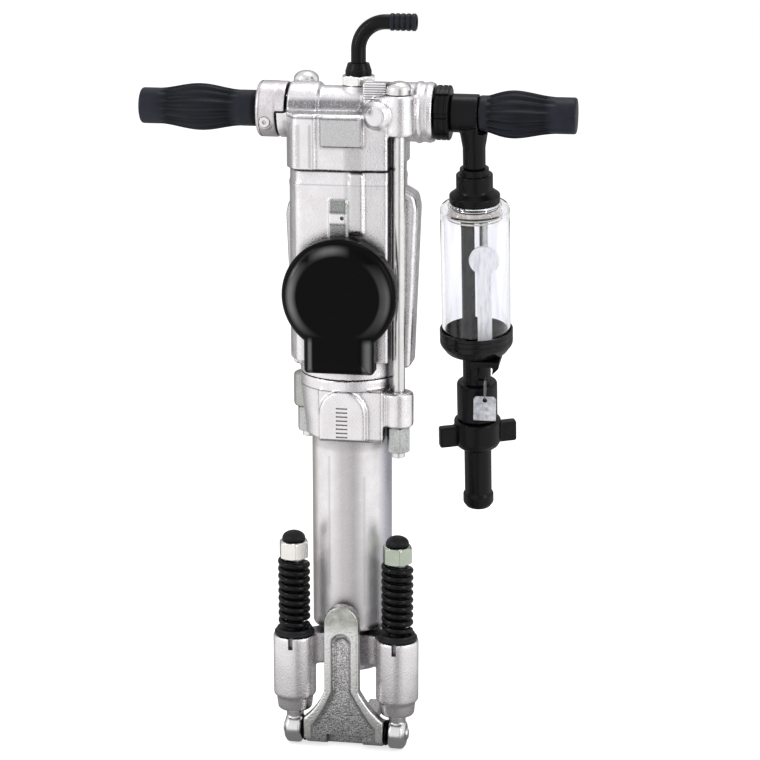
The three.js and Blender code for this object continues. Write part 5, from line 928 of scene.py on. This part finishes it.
def build_throttle():
    """Split throttle collar with its stop dog, and the screw that pinches it."""
    def on_screw(solid):
        return moved(solid, SCREW_X, 0, SCREW_Z)

    low_x, high_x, outside, inside = -87.2, -68.2, 26.5, 12.3
    ring = turned([(inside, low_x, 0.8), (outside, low_x, 3.2), (outside, high_x, 1.2), (inside, high_x, 0.8)], "X",
                  ON_HANDLE, 160, True)
    dog = moved(prism(sector(17.9, 26.2, 37.0, 177.6), "X", -71.0, -59.2), *ON_HANDLE)
    boss = on_screw(turned([(0, -24.6), (7.2, -24.6, 1.5), (8.2, -16.0, 1), (0, -16.0)], "Y", sides=64))
    slit = block(-90.0, -66.0, -1.0, 1.0, HANDLE - 28.0, HANDLE - 12.0)
    groove = turned([(26.0, -84.0), (28.0, -84.0), (28.0, -82.8), (26.0, -82.8)], "X", ON_HANDLE, 120, True)
    cuts = [[slit, on_screw(rod(5.5, -30.0, -20.6, "Y"))], [on_screw(rod(2.8, -22.0, -11.0, "Y")), groove]]
    made = casting("throttle_collar_casting", [ring, dog, boss], cuts, 0.7, 4)
    finish_piece(made, "throttle", "pink_cast", ["throttle_collar"])
    low, high = box_mm("collar_screw")
    head, shank, deep = 5.1, 2.6, low.y + 2.6
    screw = mesh_object("pinch_screw", [turned(
        [(0, low.y), (head, low.y, 0.8), (head, deep), (shank, deep), (shank, high.y, 0.4), (0, high.y)], "Y",
        (SCREW_X, 0, SCREW_Z), 64)])
    socket = [(2.1 * math.cos(a) + SCREW_X, 2.1 * math.sin(a) + SCREW_Z) for a in spread(0, math.pi * 5 / 3, 6)]
    cut_away(screw, [[prism(socket, "Y", low.y - 1, low.y + 1.6)]])
    finish_piece(screw, "throttle", "machined_steel", ["collar_screw"])


def grip_rings(left, right, lead, skew):
    """A moulded rubber grip: long flutes that fade out at its plain ends, and a rounded rim."""
    swell_left, swell_right = left + lead, right - 15.0
    plain, bulge, flutes, deep, rim_wide, rim_deep = 17.0, 5.3, 16, 2.1, 2.6, 1.9
    ends = [left + k for k in (0.0, 0.25, 0.6, 1.1, 1.8, rim_wide)]
    heights = ends + spread(left + 3.5, right - 3.5, 90) + [right - (h - left) for h in ends[::-1]]

    def radius(x, angle):
        share = min(1.0, max(0.0, (x - swell_left) / (swell_right - swell_left)))
        swell = math.sin(math.pi * share ** skew) if 0.0 < share < 1.0 else 0.0
        near = min(x - left, right - x, rim_wide)
        rim = rim_deep * (1.0 - math.sqrt(max(0.0, 1.0 - (1.0 - near / rim_wide) ** 2)))
        fade = min(1.0, max(0.0, swell * 2.6 - 0.2))
        wave = 0.5 - 0.5 * math.cos(angle * flutes)
        return plain + bulge * swell * swell - deep * fade * wave ** 0.55 - rim

    return [hoop("X", x, radius, GRIP_SIDES) for x in heights]


def build_grips():
    """Both rubber grips: closed at the outer end, bored from the inner one."""
    bore, end_wall = 12.3, 4.7

    def closed_bore(shut, open_end):
        """From the middle of the bore's shut end out to its open rim."""
        return [hoop("X", x, radius, GRIP_SIDES) for x, radius in ((shut, POINT), (shut, bore), (open_end, bore))]

    low, high = -201.7, -87.5
    shell = skin([hoop("X", low, POINT, GRIP_SIDES)] + grip_rings(low, high, 15.0, 1.0)
                 + closed_bore(low + end_wall, high)[::-1])
    piece("grip_left", [moved(shell, *ON_HANDLE)], "throttle", "grip_rubber", ["left_grip"], sharp=60)
    low, high = 121.0, 211.5
    shell = skin(closed_bore(high - end_wall, low) + grip_rings(low, high, 7.0, 0.7)
                 + [hoop("X", high, POINT, GRIP_SIDES)])
    piece("grip_right", [swung(shell, False)], "air_inlet", "grip_rubber", ["right_grip"], sharp=60)


def build_ring_nut():
    """Round nut with notches along it and two grooves round it."""
    low, high, outside, edge, sides = 81.0, 94.5, 25.6, 1.6, 240
    pitch, notch, groove = math.pi / 4, 1.7, 0.7

    def nut_radius(x, angle):
        near = min(x - low, high - x, edge)
        rim = edge - math.sqrt(max(0.0, edge ** 2 - (edge - near) ** 2))
        off = abs((angle + pitch / 2) % pitch - pitch / 2) * outside
        band = groove if 4.4 < x - low < 6.0 or 9.4 < x - low < 10.6 else 0.0
        return outside - rim - band - (notch if off < 2.6 else 0.0)

    extra = [83.5, 85.3, 85.5, 86.9, 87.1, 89.0, 90.3, 90.5, 91.5, 91.7, 92.5]
    outer = [(x, nut_radius) for x in sorted(set(edge_heights(low, high, edge, 4) + extra))]
    inner = [(high, 15.0), (86.3, 15.0), (86.3, 19.8), (low, 19.8)]
    shell = skin([hoop("X", x, radius, sides) for x, radius in outer + inner], cyclic=True)
    piece("swivel_ring_nut", [moved(shell, *ON_HANDLE)], "machine", "black_paint", ["inlet_ring_nut"], sharp=32)


def build_inlet():
    """Swivelling tee and the oiler's top cap."""
    body = turned([(0, 44.0), (13.6, 44.0, 0.8), (13.6, 81.4), (19.4, 81.4, 0.4), (19.4, 85.5, 0.4), (14.6, 85.5),
                   (14.6, 94.9), (18.0, 94.9, 1.6), (18.0, 120.7, 0.8), (12.0, 120.7), (12.0, 206.5, 1),
                   (0, 206.5)], "X")
    branch = moved(turned([(0, -52.4), (10.7, -52.4), (10.7, -33.0, 14), (13.4, -17.0, 8), (14.5, -6.0), (0, -6.0)],
                          sides=112), BRANCH_X, 0, 0)
    room = block(120.7, 140.0, -26.0, 26.0, -17.4, 0.0)
    keep = rod(12.0, 119.0, 141.0, "X")
    tee = mesh_object("tee_branch", [branch])
    cut_away(tee, [[room]])
    points = [tuple(v.co / MM) for v in tee.data.vertices]
    faces = [tuple(p.vertices) for p in tee.data.polygons]
    bpy.data.objects.remove(tee)
    made = casting("swivel_tee_casting", [swung(solid, False) for solid in (body, (points, faces), keep)],
                   [[swung(rod(9.0, 43.0, BRANCH_X, "X"), False)], [swung(rod(7.0, -54.0, 0.0))]], 0.8, 3)
    finish_piece(made, "air_inlet", "black_paint", ["swivel_tee"])
    cap = [(7.0, -52.7), (13.8, -52.7, 0.8), (13.8, -58.7, 0.5), (17.4, -58.7, 1.2), (17.4, -73.0, 1.0),
           (18.6, -75.0, 1), (24.0, -79.0, 1.2), (24.0, -86.5, 1.0), (21.5, -86.8), (21.5, -88.2, 0.4),
           (20.6, -89.2), (21.5, -90.2, 0.4), (21.5, -91.4, 0.4), (20.6, -92.4), (21.5, -93.4, 0.4),
           (21.5, -100.0, 0.8), (7.0, -100.0)]
    piece("oiler_cap", [swung(turned(cap, ring=True, sides=128))], "air_inlet", "black_paint", ["oiler_top_cap"],
          sharp=34)


def build_oiler():
    """Clear cup with its thread, and the bowl under it."""
    cup = [(21.8, -87.0, 0.6), (24.0, -87.0, 6), (33.0, -89.5, 9), (33.0, -231.0, 0.8), (29.8, -231.0, 0.5),
           (29.8, -103.0, 4), (28.6, -95.5, 4), (24.2, -92.2, 2), (21.8, -92.2, 0.8)]
    beads = [turned([(24.6, z), (25.6, z - 0.9, 0.4), (24.6, z - 1.8)], sides=128, ring=True)
             for z in (-92.6, -96.2, -99.8)]
    piece("clear_cup", [swung(turned(cup, ring=True, sides=160, steps=10))], "air_inlet", "clear_cup", ["oiler_cup"],
          sharp=50)
    # Pale, glowing thread beads: painted glints on the cup's neck.
    piece("cup_threads", [swung(bead) for bead in beads], "air_inlet", "white_plastic", [], "thread_glint")
    wide = 35.3
    bowl = [(9.8, -238.0), (29.0, -238.0, 4), (wide, -229.0, 6), (wide, -224.0, 0.4), (34.6, -223.4), (34.6, -222.6),
            (wide, -222.0, 0.4), (wide, -218.6, 0.4), (34.8, -218.0), (wide, -217.4, 0.4), (wide, -214.5, 0.7),
            (33.7, -214.5, 0.4), (33.7, -231.4), (24.8, -231.4, 0.4), (24.8, -226.6, 1.0), (9.8, -226.6)]
    piece("oiler_bowl", [swung(turned(bowl, ring=True, sides=160))], "air_inlet", "black_paint", ["oiler_base"],
          "bowl_gloss", 34)


def build_hose_end():
    """Hose connector with its eye plate, wing nut and hose tail."""
    top, foot, corner = -238.3, -263.0, 18.4
    left, right = 11.5 - 13.8, 11.5 + 13.8
    neck = turned([(0, -309.0), (19.7, -309.0, 2.0), (19.7, -270.0, 5), (13.6, -270.0, 2), (13.6, -243.0, 5),
                   (18.4, top), (0, top)], sides=112)
    plate = prism([(left, top), (left, corner + foot, 4), (left + corner / 2, foot, 3), (right - corner, foot, 5),
                   (right, corner + foot, 7), (right, top)], "Y", -29.0, -24.0, 0.6)
    window = prism([(3.5, -243.5, 2), (3.5, -257.4, 2), (11.5, -257.4, 3), (18.0, -255.0, 5), (19.5, -243.5, 2)],
                   "Y", -32.0, -21.0)
    bridge = prism([(left, -29.0, 1), (right, -29.0, 1), (right, 0.0), (left, 0.0)], "Z", -243.0, top, 0.5)
    made = casting("hose_connector_casting", [swung(solid) for solid in (neck, plate, bridge)],
                   [[swung(window)], [swung(rod(9.5, -311.0, -236.0))]], 0.7, 3)
    finish_piece(made, "air_inlet", "black_paint", ["hose_connector"])

    hub = turned([(0, -341.0), (15.3, -341.0, 1.5), (20.5, -337.0, 3), (22.9, -332.5, 2), (22.9, -309.6, 2.2),
                  (0, -309.6)], sides=128)
    wings = prism(rectangle(-38.4, 38.4, -336.5, -315.5, 2.0), "Y", -4.5, 4.5, 1.4)
    bore = turned([(0, -343.0), (13.7, -343.0), (13.7, -315.1), (18.4, -315.1), (18.4, -308.0), (0, -308.0)])
    made = casting("wing_nut_casting", [swung(hub), swung(yawed(wings, 21.0))], [[swung(bore)]], 0.75, 3)
    finish_piece(made, "hose_nut", "black_paint", ["wing_nut"])
    tail = [(8.5, -404.0, 1), (12.0, -404.0, 2), (15.0, -399.5, 2.5), (15.0, -391.0, 2), (13.3, -388.0, 1.5),
            (13.3, -314.4), (18.0, -314.4, 0.5), (18.0, -309.7, 0.5), (8.5, -309.7)]
    piece("hose_spigot", [swung(turned(tail, ring=True, sides=128))], "air_inlet", "black_paint", ["hose_tail"])


def tongue(inset, top=74.7, foot=-64.0):
    """Outline of the retainer's kick tongue drawn in by an amount."""
    half, middle, width = 17.0 - inset, -1.5, 39.0 - inset

    def curve(start, knee, end):
        return [tuple((1 - t) ** 2 * a + 2 * t * (1 - t) * b + t * t * c for a, b, c in zip(start, knee, end))
                for t in spread(0.0, 1.0, 14)]

    right = curve((width, -42.0 - inset), (26.5 - inset / 2, -33.0 - inset), (middle + half, -13.0))
    arc = [(middle + half * math.cos(a), top - 17.0 + half * math.sin(a)) for a in spread(0.0, math.pi, 32)]
    left = curve((middle - half, -13.0), (inset / 2 - 26.5, -33.0 - inset), (-width, -42.0 - inset))
    return [(-width, foot), (width, foot)] + right + arc + left


def build_retainer():
    """Steel retainer: channelled tongue, hinge barrel and fork, melted into one forging."""
    plate = prism(tongue(0.0), "Y", -55.0, -42.5, 1.6)
    barrel = turned([(0, -39.0), (13.4, -39.0, 2.2), (13.4, 39.0, 2.2), (0, 39.0)], "X", ON_PIN, 112)
    round_r, arm, end = 14.5, 28.6, 12.0
    fork = [(-arm, -37.0), (arm, -37.0), (arm, end, 4), (round_r, end, 1.5), (round_r, 0.0)]
    fork += [(round_r * math.cos(a), -round_r * math.sin(a)) for a in spread(0.0, math.pi, 24)][1:-1]
    fork += [(-round_r, 0.0), (-round_r, end, 1.5), (-arm, end, 4)]
    solids = [plate, barrel, prism(fork, "Z", -56.0, -44.0, 1.0)]
    channel = prism(tongue(7.4, 54.0, -70.0), "Y", -57.0, -50.0)
    core = prism(tongue(9.6, 51.0, -70.0), "Y", -57.0, -48.0)
    made = melted(casting("kick_retainer", solids, [[channel], [core]], 0.9, 2), 0.9, 5)
    notch = prism([(-18.0, -80.0), (18.0, -80.0), (18.0, -59.5, 3), (-18.0, -59.5, 3)], "Y", -60.0, -37.0)
    cut_away(made, [[rod(6.4, -41.0, 41.0, "X", ON_PIN)], [notch]])
    finish_piece(made, "retainer", "forged_steel", ["steel_retainer"], "kick_forging")


def crown_nut(low, high, x):
    """A hexagon nut on a retainer bolt, chamfered at its foot and domed on top."""
    flats, corner, chamfer, inner, shoulder = 26.4, 26.6 / math.sqrt(3), 13.1, 11.3, low + 12.0

    def crowned(height, angle):
        foot = chamfer + (height - low) * 2.4
        rise = max(0.0, (height - shoulder) / (high - shoulder))
        crown = inner + (corner - inner) * math.sqrt(max(0.0, 1.0 - rise ** 2))
        return min(hexagon(flats, angle, math.radians(18)), foot, crown, corner - 0.3)

    heights = [low + h for h in (0, 0.2, 0.5, 0.9, 1.4)] + spread(low + 3, low + 11.6, 3) + spread(shoulder, high, 10)
    return polar(heights, crowned, "Z", (x, BOLT_Y, 0), 180, 8.8)


def build_retainer_bolts():
    """Both bolts with eye, crown nut, rubber cap, spring seat and washer."""
    for name, side in (("left", -1), ("right", 1)):
        x, at = side * BOLT_X, (side * BOLT_X, BOLT_Y, 0)
        low, high = box_mm("retainer_nut_" + name)
        _, end = box_mm("retainer_bolt_" + name)
        top = high.z
        piece("crown_nut_" + name, [crown_nut(low.z, top, x)], "retainer_carriage", "machined_steel",
              ["retainer_nut_" + name], "zinc_bright" if side < 0 else "zinc_green", 28)
        shank = turned([(0, -51.5), (8.4, -51.5, 1), (8.4, top + 0.2), (0, top + 0.2)], at=at)
        eye = turned([(0, -9.2), (10.6, -9.2, 2.0), (14.8, -6.0, 3.0), (14.8, 6.0, 3.0), (10.6, 9.2, 2.0), (0, 9.2)],
                     "X", (x, BOLT_Y, PIN_Z), 96)
        bolt = casting("eye_bolt_" + name, [shank, eye], [[rod(6.3, x - 12, x + 12, "X", ON_PIN)]], 0.7, 4)
        finish_piece(bolt, "retainer_carriage", "machined_steel", ["retainer_bolt_" + name])
        radius, rim = 11.2, top + 2.2
        cap = [(0, top + 0.3), (radius, top + 0.3, 0.6), (radius, rim), *dome(radius, rim, end.z, 14)]
        piece("bolt_cap_" + name, [turned(cap, at=at, sides=96)], "retainer_carriage", "machined_steel", [],
              "cap_rubber")
        seat = [(9.2, 39.8), (19.5, 39.8, 1.0), (19.5, 42.2, 1.2), (17.8, 43.6, 1.0), (16.9, 46.0, 0.8), (9.2, 46.0)]
        piece("rubber_seat_" + name, [turned(seat, at=at, ring=True, sides=112)], "machine", "seal_rubber",
              ["spring_seat_" + name])
        near, far = side * 39.25, side * 41.2
        washer = [(6.4, near), (12.6, near, 0.5), (12.6, far, 0.5), (6.4, far)]
        piece("thrust_washer_" + name, [turned(washer, "X", ON_PIN, 96, True)], "retainer_carriage", "machined_steel",
              [], "cap_rubber")


# ---------------------------------------------------------------- Geometry Nodes

def geometry_tree(name, *inputs):
    """A Geometry Nodes tree that takes and gives geometry, with named inputs, and the inputs' identifiers."""
    tree = bpy.data.node_groups.new(name, "GeometryNodeTree")
    sockets = {}
    for label, kind in (("Geometry", "NodeSocketGeometry"), *inputs):
        sockets[label] = tree.interface.new_socket(label, in_out="INPUT", socket_type=kind).identifier
    tree.interface.new_socket("Geometry", in_out="OUTPUT", socket_type="NodeSocketGeometry")
    return Nodes(tree), sockets


def coil_tree(material):
    """Geometry Nodes: a round wire wound along a spiral of named turns, radius, height and wire radius."""
    sizes = ("Turns", "Coil Radius", "Height", "Wire Radius")
    g, sockets = geometry_tree("coil", *[(size, "NodeSocketFloat") for size in sizes], ("Place", "NodeSocketVector"))
    turns, radius, height, wire, place = g.outputs(g.node("NodeGroupInput", {}), *sizes, "Place")
    spiral = g.node("GeometryNodeCurveSpiral", {}, Resolution=40, Rotations=turns, Start_Radius=radius,
                    End_Radius=radius, Height=height)
    section = g.node("GeometryNodeCurvePrimitiveCircle", {}, Resolution=20, Radius=wire)
    sweep = g.node("GeometryNodeCurveToMesh", {}, Curve=spiral, Profile_Curve=section, Fill_Caps=True)
    set_down = g.node("GeometryNodeTransform", {}, Geometry=sweep, Translation=place)
    real = g.node("GeometryNodeRealizeInstances", {}, set_down)
    g.node("NodeGroupOutput", {}, g.node("GeometryNodeSetMaterial", {}, Geometry=real, Material=material))
    return g.tree, sockets


def build_springs():
    """Retainer springs, shortened by the slide of their bolts."""
    tree, sockets = coil_tree(FINISHES["black_spring"])
    look = bpy.context.scene.rock_drill
    wire, outer = look.coil_wire / MM, look.coil_outer / MM
    length = SPRING_HIGH - SPRING_LOW
    for name, side in (("left", -1), ("right", 1)):
        made = mesh_object("coil_" + name, [rod(1, 0, 1, sides=3)])
        grow = made.modifiers.new("coil", "NODES")
        grow.node_group = tree
        values = {"Turns": look.coil_turns, "Coil Radius": (outer - wire) * MM, "Height": (length - 2 * wire) * MM,
                  "Wire Radius": wire * MM, "Place": (side * BOLT_X * MM, BOLT_Y * MM, (SPRING_LOW + wire) * MM)}
        for label, value in values.items():
            grow[sockets[label]] = value
        settle(made)
        finish_piece(made, "machine", "black_spring", ["retainer_spring_" + name], sharp=80)
        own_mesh(made)


def smooth_tree(degrees):
    """Geometry Nodes: smooth faces, split where they meet at more than an angle."""
    name = f"smooth_below_{degrees:.0f}"
    if name in bpy.data.node_groups:
        return bpy.data.node_groups[name]
    g, _ = geometry_tree(name)
    angle = g.node("GeometryNodeInputMeshEdgeAngle", {}, out="Unsigned Angle")
    under = g.node("FunctionNodeCompare", {"operation": "LESS_THAN"}, A=angle, B=math.radians(degrees))
    faces = g.node("GeometryNodeSetShadeSmooth", {}, Geometry=g.node("NodeGroupInput", {}))
    edges = g.node("GeometryNodeSetShadeSmooth", {"domain": "EDGE"}, Geometry=faces, Shade_Smooth=under)
    g.node("NodeGroupOutput", {}, edges)
    return g.tree


def dress(node_name, finish_name):
    """Gives a CAD node its finish, rounded shading and softly broken edges."""
    sharp = 32.0
    node = NODES[node_name]
    node.data.materials.clear()
    node.data.materials.append(FINISHES[finish_name])
    weld = node.modifiers.new("weld", "WELD")
    weld.merge_threshold = 1e-6
    bevel = node.modifiers.new("edge", "BEVEL")
    bevel.width = 0.0005
    bevel.segments = 2
    bevel.limit_method = "ANGLE"
    bevel.angle_limit = math.radians(sharp)
    bevel.use_clamp_overlap = True
    smooth = node.modifiers.new("smooth", "NODES")
    smooth.node_group = smooth_tree(sharp)


def build_inside():
    """The CAD solids that stay: the drive inside the barrel, tubes, pin, tag and oil feed."""
    for finish, names in SLOTS.items():
        for name in names:
            dress(name, finish)


# ---------------------------------------------------------------- camera, floor and light

LOOK_AT = Vector((27.3, 0.0, 288.0)) * MM
CAMERA_AZIMUTH = 10.0
CAMERA_ELEVATION = 14.5
CAMERA_DISTANCE = 2.333
SENSOR = 36.0
FOCAL = 2430.0 / 760.0 * SENSOR
FLOOR_DROP = 0.001


def make_camera():
    """Camera that looks at the middle of the drill from its right and a little above."""
    data = bpy.data.cameras.new("camera")
    data.sensor_width = SENSOR
    data.lens = bpy.context.scene.rock_drill.lens
    data.clip_end = 30.0
    camera = bpy.data.objects.new("camera", data)
    bpy.context.scene.collection.objects.link(camera)
    turn, rise = math.radians(CAMERA_AZIMUTH), math.radians(CAMERA_ELEVATION)
    back = Vector((math.sin(turn) * math.cos(rise), -math.cos(turn) * math.cos(rise), math.sin(rise)))
    camera.location = LOOK_AT + back * CAMERA_DISTANCE
    camera.rotation_mode = "QUATERNION"
    camera.rotation_quaternion = (-back).to_track_quat("-Z", "Y")
    bpy.context.scene.camera = camera


def area_light(name, place, target, size, power):
    """A rectangular lamp turned to its target."""
    data = bpy.data.lights.new(name, "AREA")
    data.shape = "RECTANGLE"
    data.size, data.size_y = size
    data.energy = power
    lamp = bpy.data.objects.new(name, data)
    bpy.context.scene.collection.objects.link(lamp)
    place = Vector(place)
    lamp.location = place
    lamp.rotation_mode = "QUATERNION"
    lamp.rotation_quaternion = (Vector(target) - place).to_track_quat("-Z", "Y")


def studio_shade(tree, x, y):
    """What gloss finds in each direction: pale, with a narrow dark gap by the viewer and dark behind."""
    turn = tree.node("ShaderNodeMath", {"operation": "ARCTAN2"}, x, y * -1.0) * (180.0 / math.pi) - CAMERA_AZIMUTH
    gap = turn.above(-10.0, 0.0) * (1.0 - turn.above(12.0, 26.0))
    behind = abs(turn).above(112.0, 132.0)
    return 1.0 - gap * 0.62 - behind * 0.64


def light_rays(tree):
    """Masks: rays that look straight or through glass, mirrored rays, and rays that come through glass."""
    eye, mirror, through = tree.outputs(tree.node("ShaderNodeLightPath", {}), "Is Camera Ray", "Is Glossy Ray",
                                        "Is Transmission Ray")
    return tree.node("ShaderNodeMath", {"operation": "MAXIMUM"}, eye, through), mirror, through


def make_world():
    """White to the eye; gloss also finds the dark side of a studio, so metal keeps its contrast."""
    world = bpy.data.worlds.new("studio")
    bpy.context.scene.world = world
    world.use_nodes = True
    world.node_tree.nodes.clear()
    w = Nodes(world.node_tree)
    seen = w.node("ShaderNodeTexCoord", {}, out="Generated")
    x, y, z = w.outputs(w.node("ShaderNodeSeparateXYZ", {}, seen), "X", "Y", "Z")
    overhead = z.above(0.35, 0.75)
    gloss = studio_shade(w, x, y) * (1.0 - overhead) + overhead * 0.9
    shade = w.node("ShaderNodeCombineXYZ", {}, gloss, gloss, gloss * 1.02)
    direct, mirror, _ = light_rays(w)
    lit = w.node("ShaderNodeBackground", {}, Color=rgb(0.98, 0.99, 1.0), Strength=0.5)
    reflected = w.node("ShaderNodeBackground", {}, Color=shade, Strength=1.0)
    white = w.node("ShaderNodeBackground", {}, Color=rgb(1, 1, 1), Strength=1.0)
    first = w.node("ShaderNodeMixShader", {}, mirror, lit, reflected)
    w.node("ShaderNodeOutputWorld", {}, w.node("ShaderNodeMixShader", {}, direct, first, white))


def make_floor():
    """Pale paper that keeps the object's shadow and shows gloss the same studio as the world does."""
    low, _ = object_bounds()
    size, z = 6.0, low.z - FLOOR_DROP
    mesh = bpy.data.meshes.new("floor")
    mesh.from_pydata([(-size, -size, z), (size, -size, z), (size, size, z), (-size, size, z)], [], [(0, 1, 2, 3)])
    floor = bpy.data.objects.new("floor", mesh)
    bpy.context.scene.collection.objects.link(floor)
    f = Finish("floor_paper", base_color=rgb(0.95, 0.95, 0.95), roughness=0.9, emission_color=rgb(1, 1, 1),
               specular_ior_level=0.0)
    x, y = f.outputs(f.node("ShaderNodeSeparateXYZ", {}, f.place), "X", "Y")
    # Painted shadow: close round the drill, gloss finds the floor at a dark 0.2, which darkens the undersides that
    # reflect it.
    far = (x * x + y * y).above(0.012, 0.11)
    tone = studio_shade(f, x, y) * far + (1.0 - far) * 0.2
    shade = f.node("ShaderNodeCombineXYZ", {}, tone, tone, tone)
    seen = f.node("ShaderNodeEmission", {}, Color=shade, Strength=1.0)
    direct, mirror, through = light_rays(f)
    f.set("Emission Strength", direct * 0.35 + 0.3)
    last = f.node("ShaderNodeMixShader", {}, mirror * (1.0 - through), Sock(f, f.shader), seen)
    f.tree.links.new(last.out, f.tree.nodes["Material Output"].inputs[0])
    mesh.materials.append(f.material)
    floor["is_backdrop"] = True


def make_lights():
    area_light("key", (-1.55, -1.25, 1.25), (0, 0, 0.35), (0.14, 1.5), 9)
    area_light("fill", (1.75, -0.85, 0.95), (0, 0, 0.35), (0.14, 1.5), 7)
    area_light("top", (0.2, 0.4, 2.3), (0, 0, 0.3), (1.2, 0.8), 9)


# ---------------------------------------------------------------- add-on: sizes, operators, panel

class DrillSettings(bpy.types.PropertyGroup):
    """Sizes and colours of the drill that can be changed before its pieces are built."""
    casting_pale: bpy.props.FloatVectorProperty(name="Casting, pale", description="Bright tone of the castings",
                                                subtype="COLOR", min=0, max=1, default=(0.97, 0.955, 0.96))
    casting_dark: bpy.props.FloatVectorProperty(name="Casting, dark", description="Dull tone of the castings",
                                                subtype="COLOR", min=0, max=1, default=(0.8, 0.765, 0.785))
    black: bpy.props.FloatVectorProperty(name="Black", description="Tone of the black paint and rubber",
                                         subtype="COLOR", min=0, max=1, default=(0.005, 0.005, 0.006))
    coil_turns: bpy.props.FloatProperty(name="Spring turns", description="Turns of each retainer spring",
                                        default=8.6)
    coil_outer: bpy.props.FloatProperty(name="Spring radius", description="Outer radius of each retainer spring",
                                        unit="LENGTH", default=0.0157)
    coil_wire: bpy.props.FloatProperty(name="Wire radius", description="Radius of the springs' wire",
                                       unit="LENGTH", default=0.00315)
    lens: bpy.props.FloatProperty(name="Lens", description="Focal length of the camera in millimetres",
                                  unit="CAMERA", default=FOCAL)


def operator(label, about, *builders):
    """One operator for a piece or a group of like pieces."""
    idname = "rock_drill." + label.lower().replace(" ", "_")

    def execute(self, context):
        for builder in builders:
            builder()
        return {"FINISHED"}

    return type("ROCKDRILL_OT_" + label.lower().replace(" ", "_"), (bpy.types.Operator,),
                {"__doc__": about, "bl_idname": idname, "bl_label": label, "execute": execute})


OPERATORS = [
    operator("Finishes", "Materials of every piece", make_finishes),
    operator("Rear head", "Rear head casting", build_rear_head),
    operator("Cylinder", "Cylinder casting", build_cylinder),
    operator("Front head", "Front head casting", build_front_head),
    operator("Muffler", "Exhaust muffler cover", build_muffler),
    operator("Side rods", "Side rods and their nuts", build_side_rods),
    operator("Water inlet", "Water bush, gland nut, elbow and ferrule", build_water_inlet, build_water_elbow),
    operator("Throttle", "Throttle collar and pinch screw", build_throttle),
    operator("Grips", "Both rubber grips", build_grips),
    operator("Inlet", "Ring nut, swivel tee and oiler cap", build_ring_nut, build_inlet),
    operator("Oiler", "Cup, bowl, hose connector, wing nut and tail", build_oiler, build_hose_end),
    operator("Retainer", "Steel retainer with its kick tongue", build_retainer),
    operator("Retainer bolts", "Eye bolts, crown nuts and rubber seats", build_retainer_bolts),
    operator("Springs", "Retainer springs", build_springs),
    operator("Inside", "Solids kept from the CAD model", build_inside),
    operator("Stage", "Camera, light and floor", make_camera, make_world, make_floor, make_lights),
]


class ROCKDRILL_PT_panel(bpy.types.Panel):
    """Buttons for the drill's pieces and its stage"""
    bl_label = "Rock Drill"
    bl_idname = "ROCKDRILL_PT_panel"
    bl_space_type = "VIEW_3D"
    bl_region_type = "UI"
    bl_category = "Rock Drill"

    def draw(self, context):
        for key in DrillSettings.__annotations__:
            self.layout.prop(context.scene.rock_drill, key)
        for made in OPERATORS:
            self.layout.operator(made.bl_idname)


CLASSES = [DrillSettings, *OPERATORS, ROCKDRILL_PT_panel]


def register():
    for made in CLASSES:
        bpy.utils.register_class(made)
    bpy.types.Scene.rock_drill = bpy.props.PointerProperty(type=DrillSettings)


def unregister():
    del bpy.types.Scene.rock_drill
    for made in reversed(CLASSES):
        bpy.utils.unregister_class(made)


def main():
    register()
    for made in OPERATORS:
        group, name = made.bl_idname.split(".")
        getattr(getattr(bpy.ops, group), name)()
    bpy.context.scene.view_settings.view_transform = "Standard"


if __name__ == "__main__":
    main()
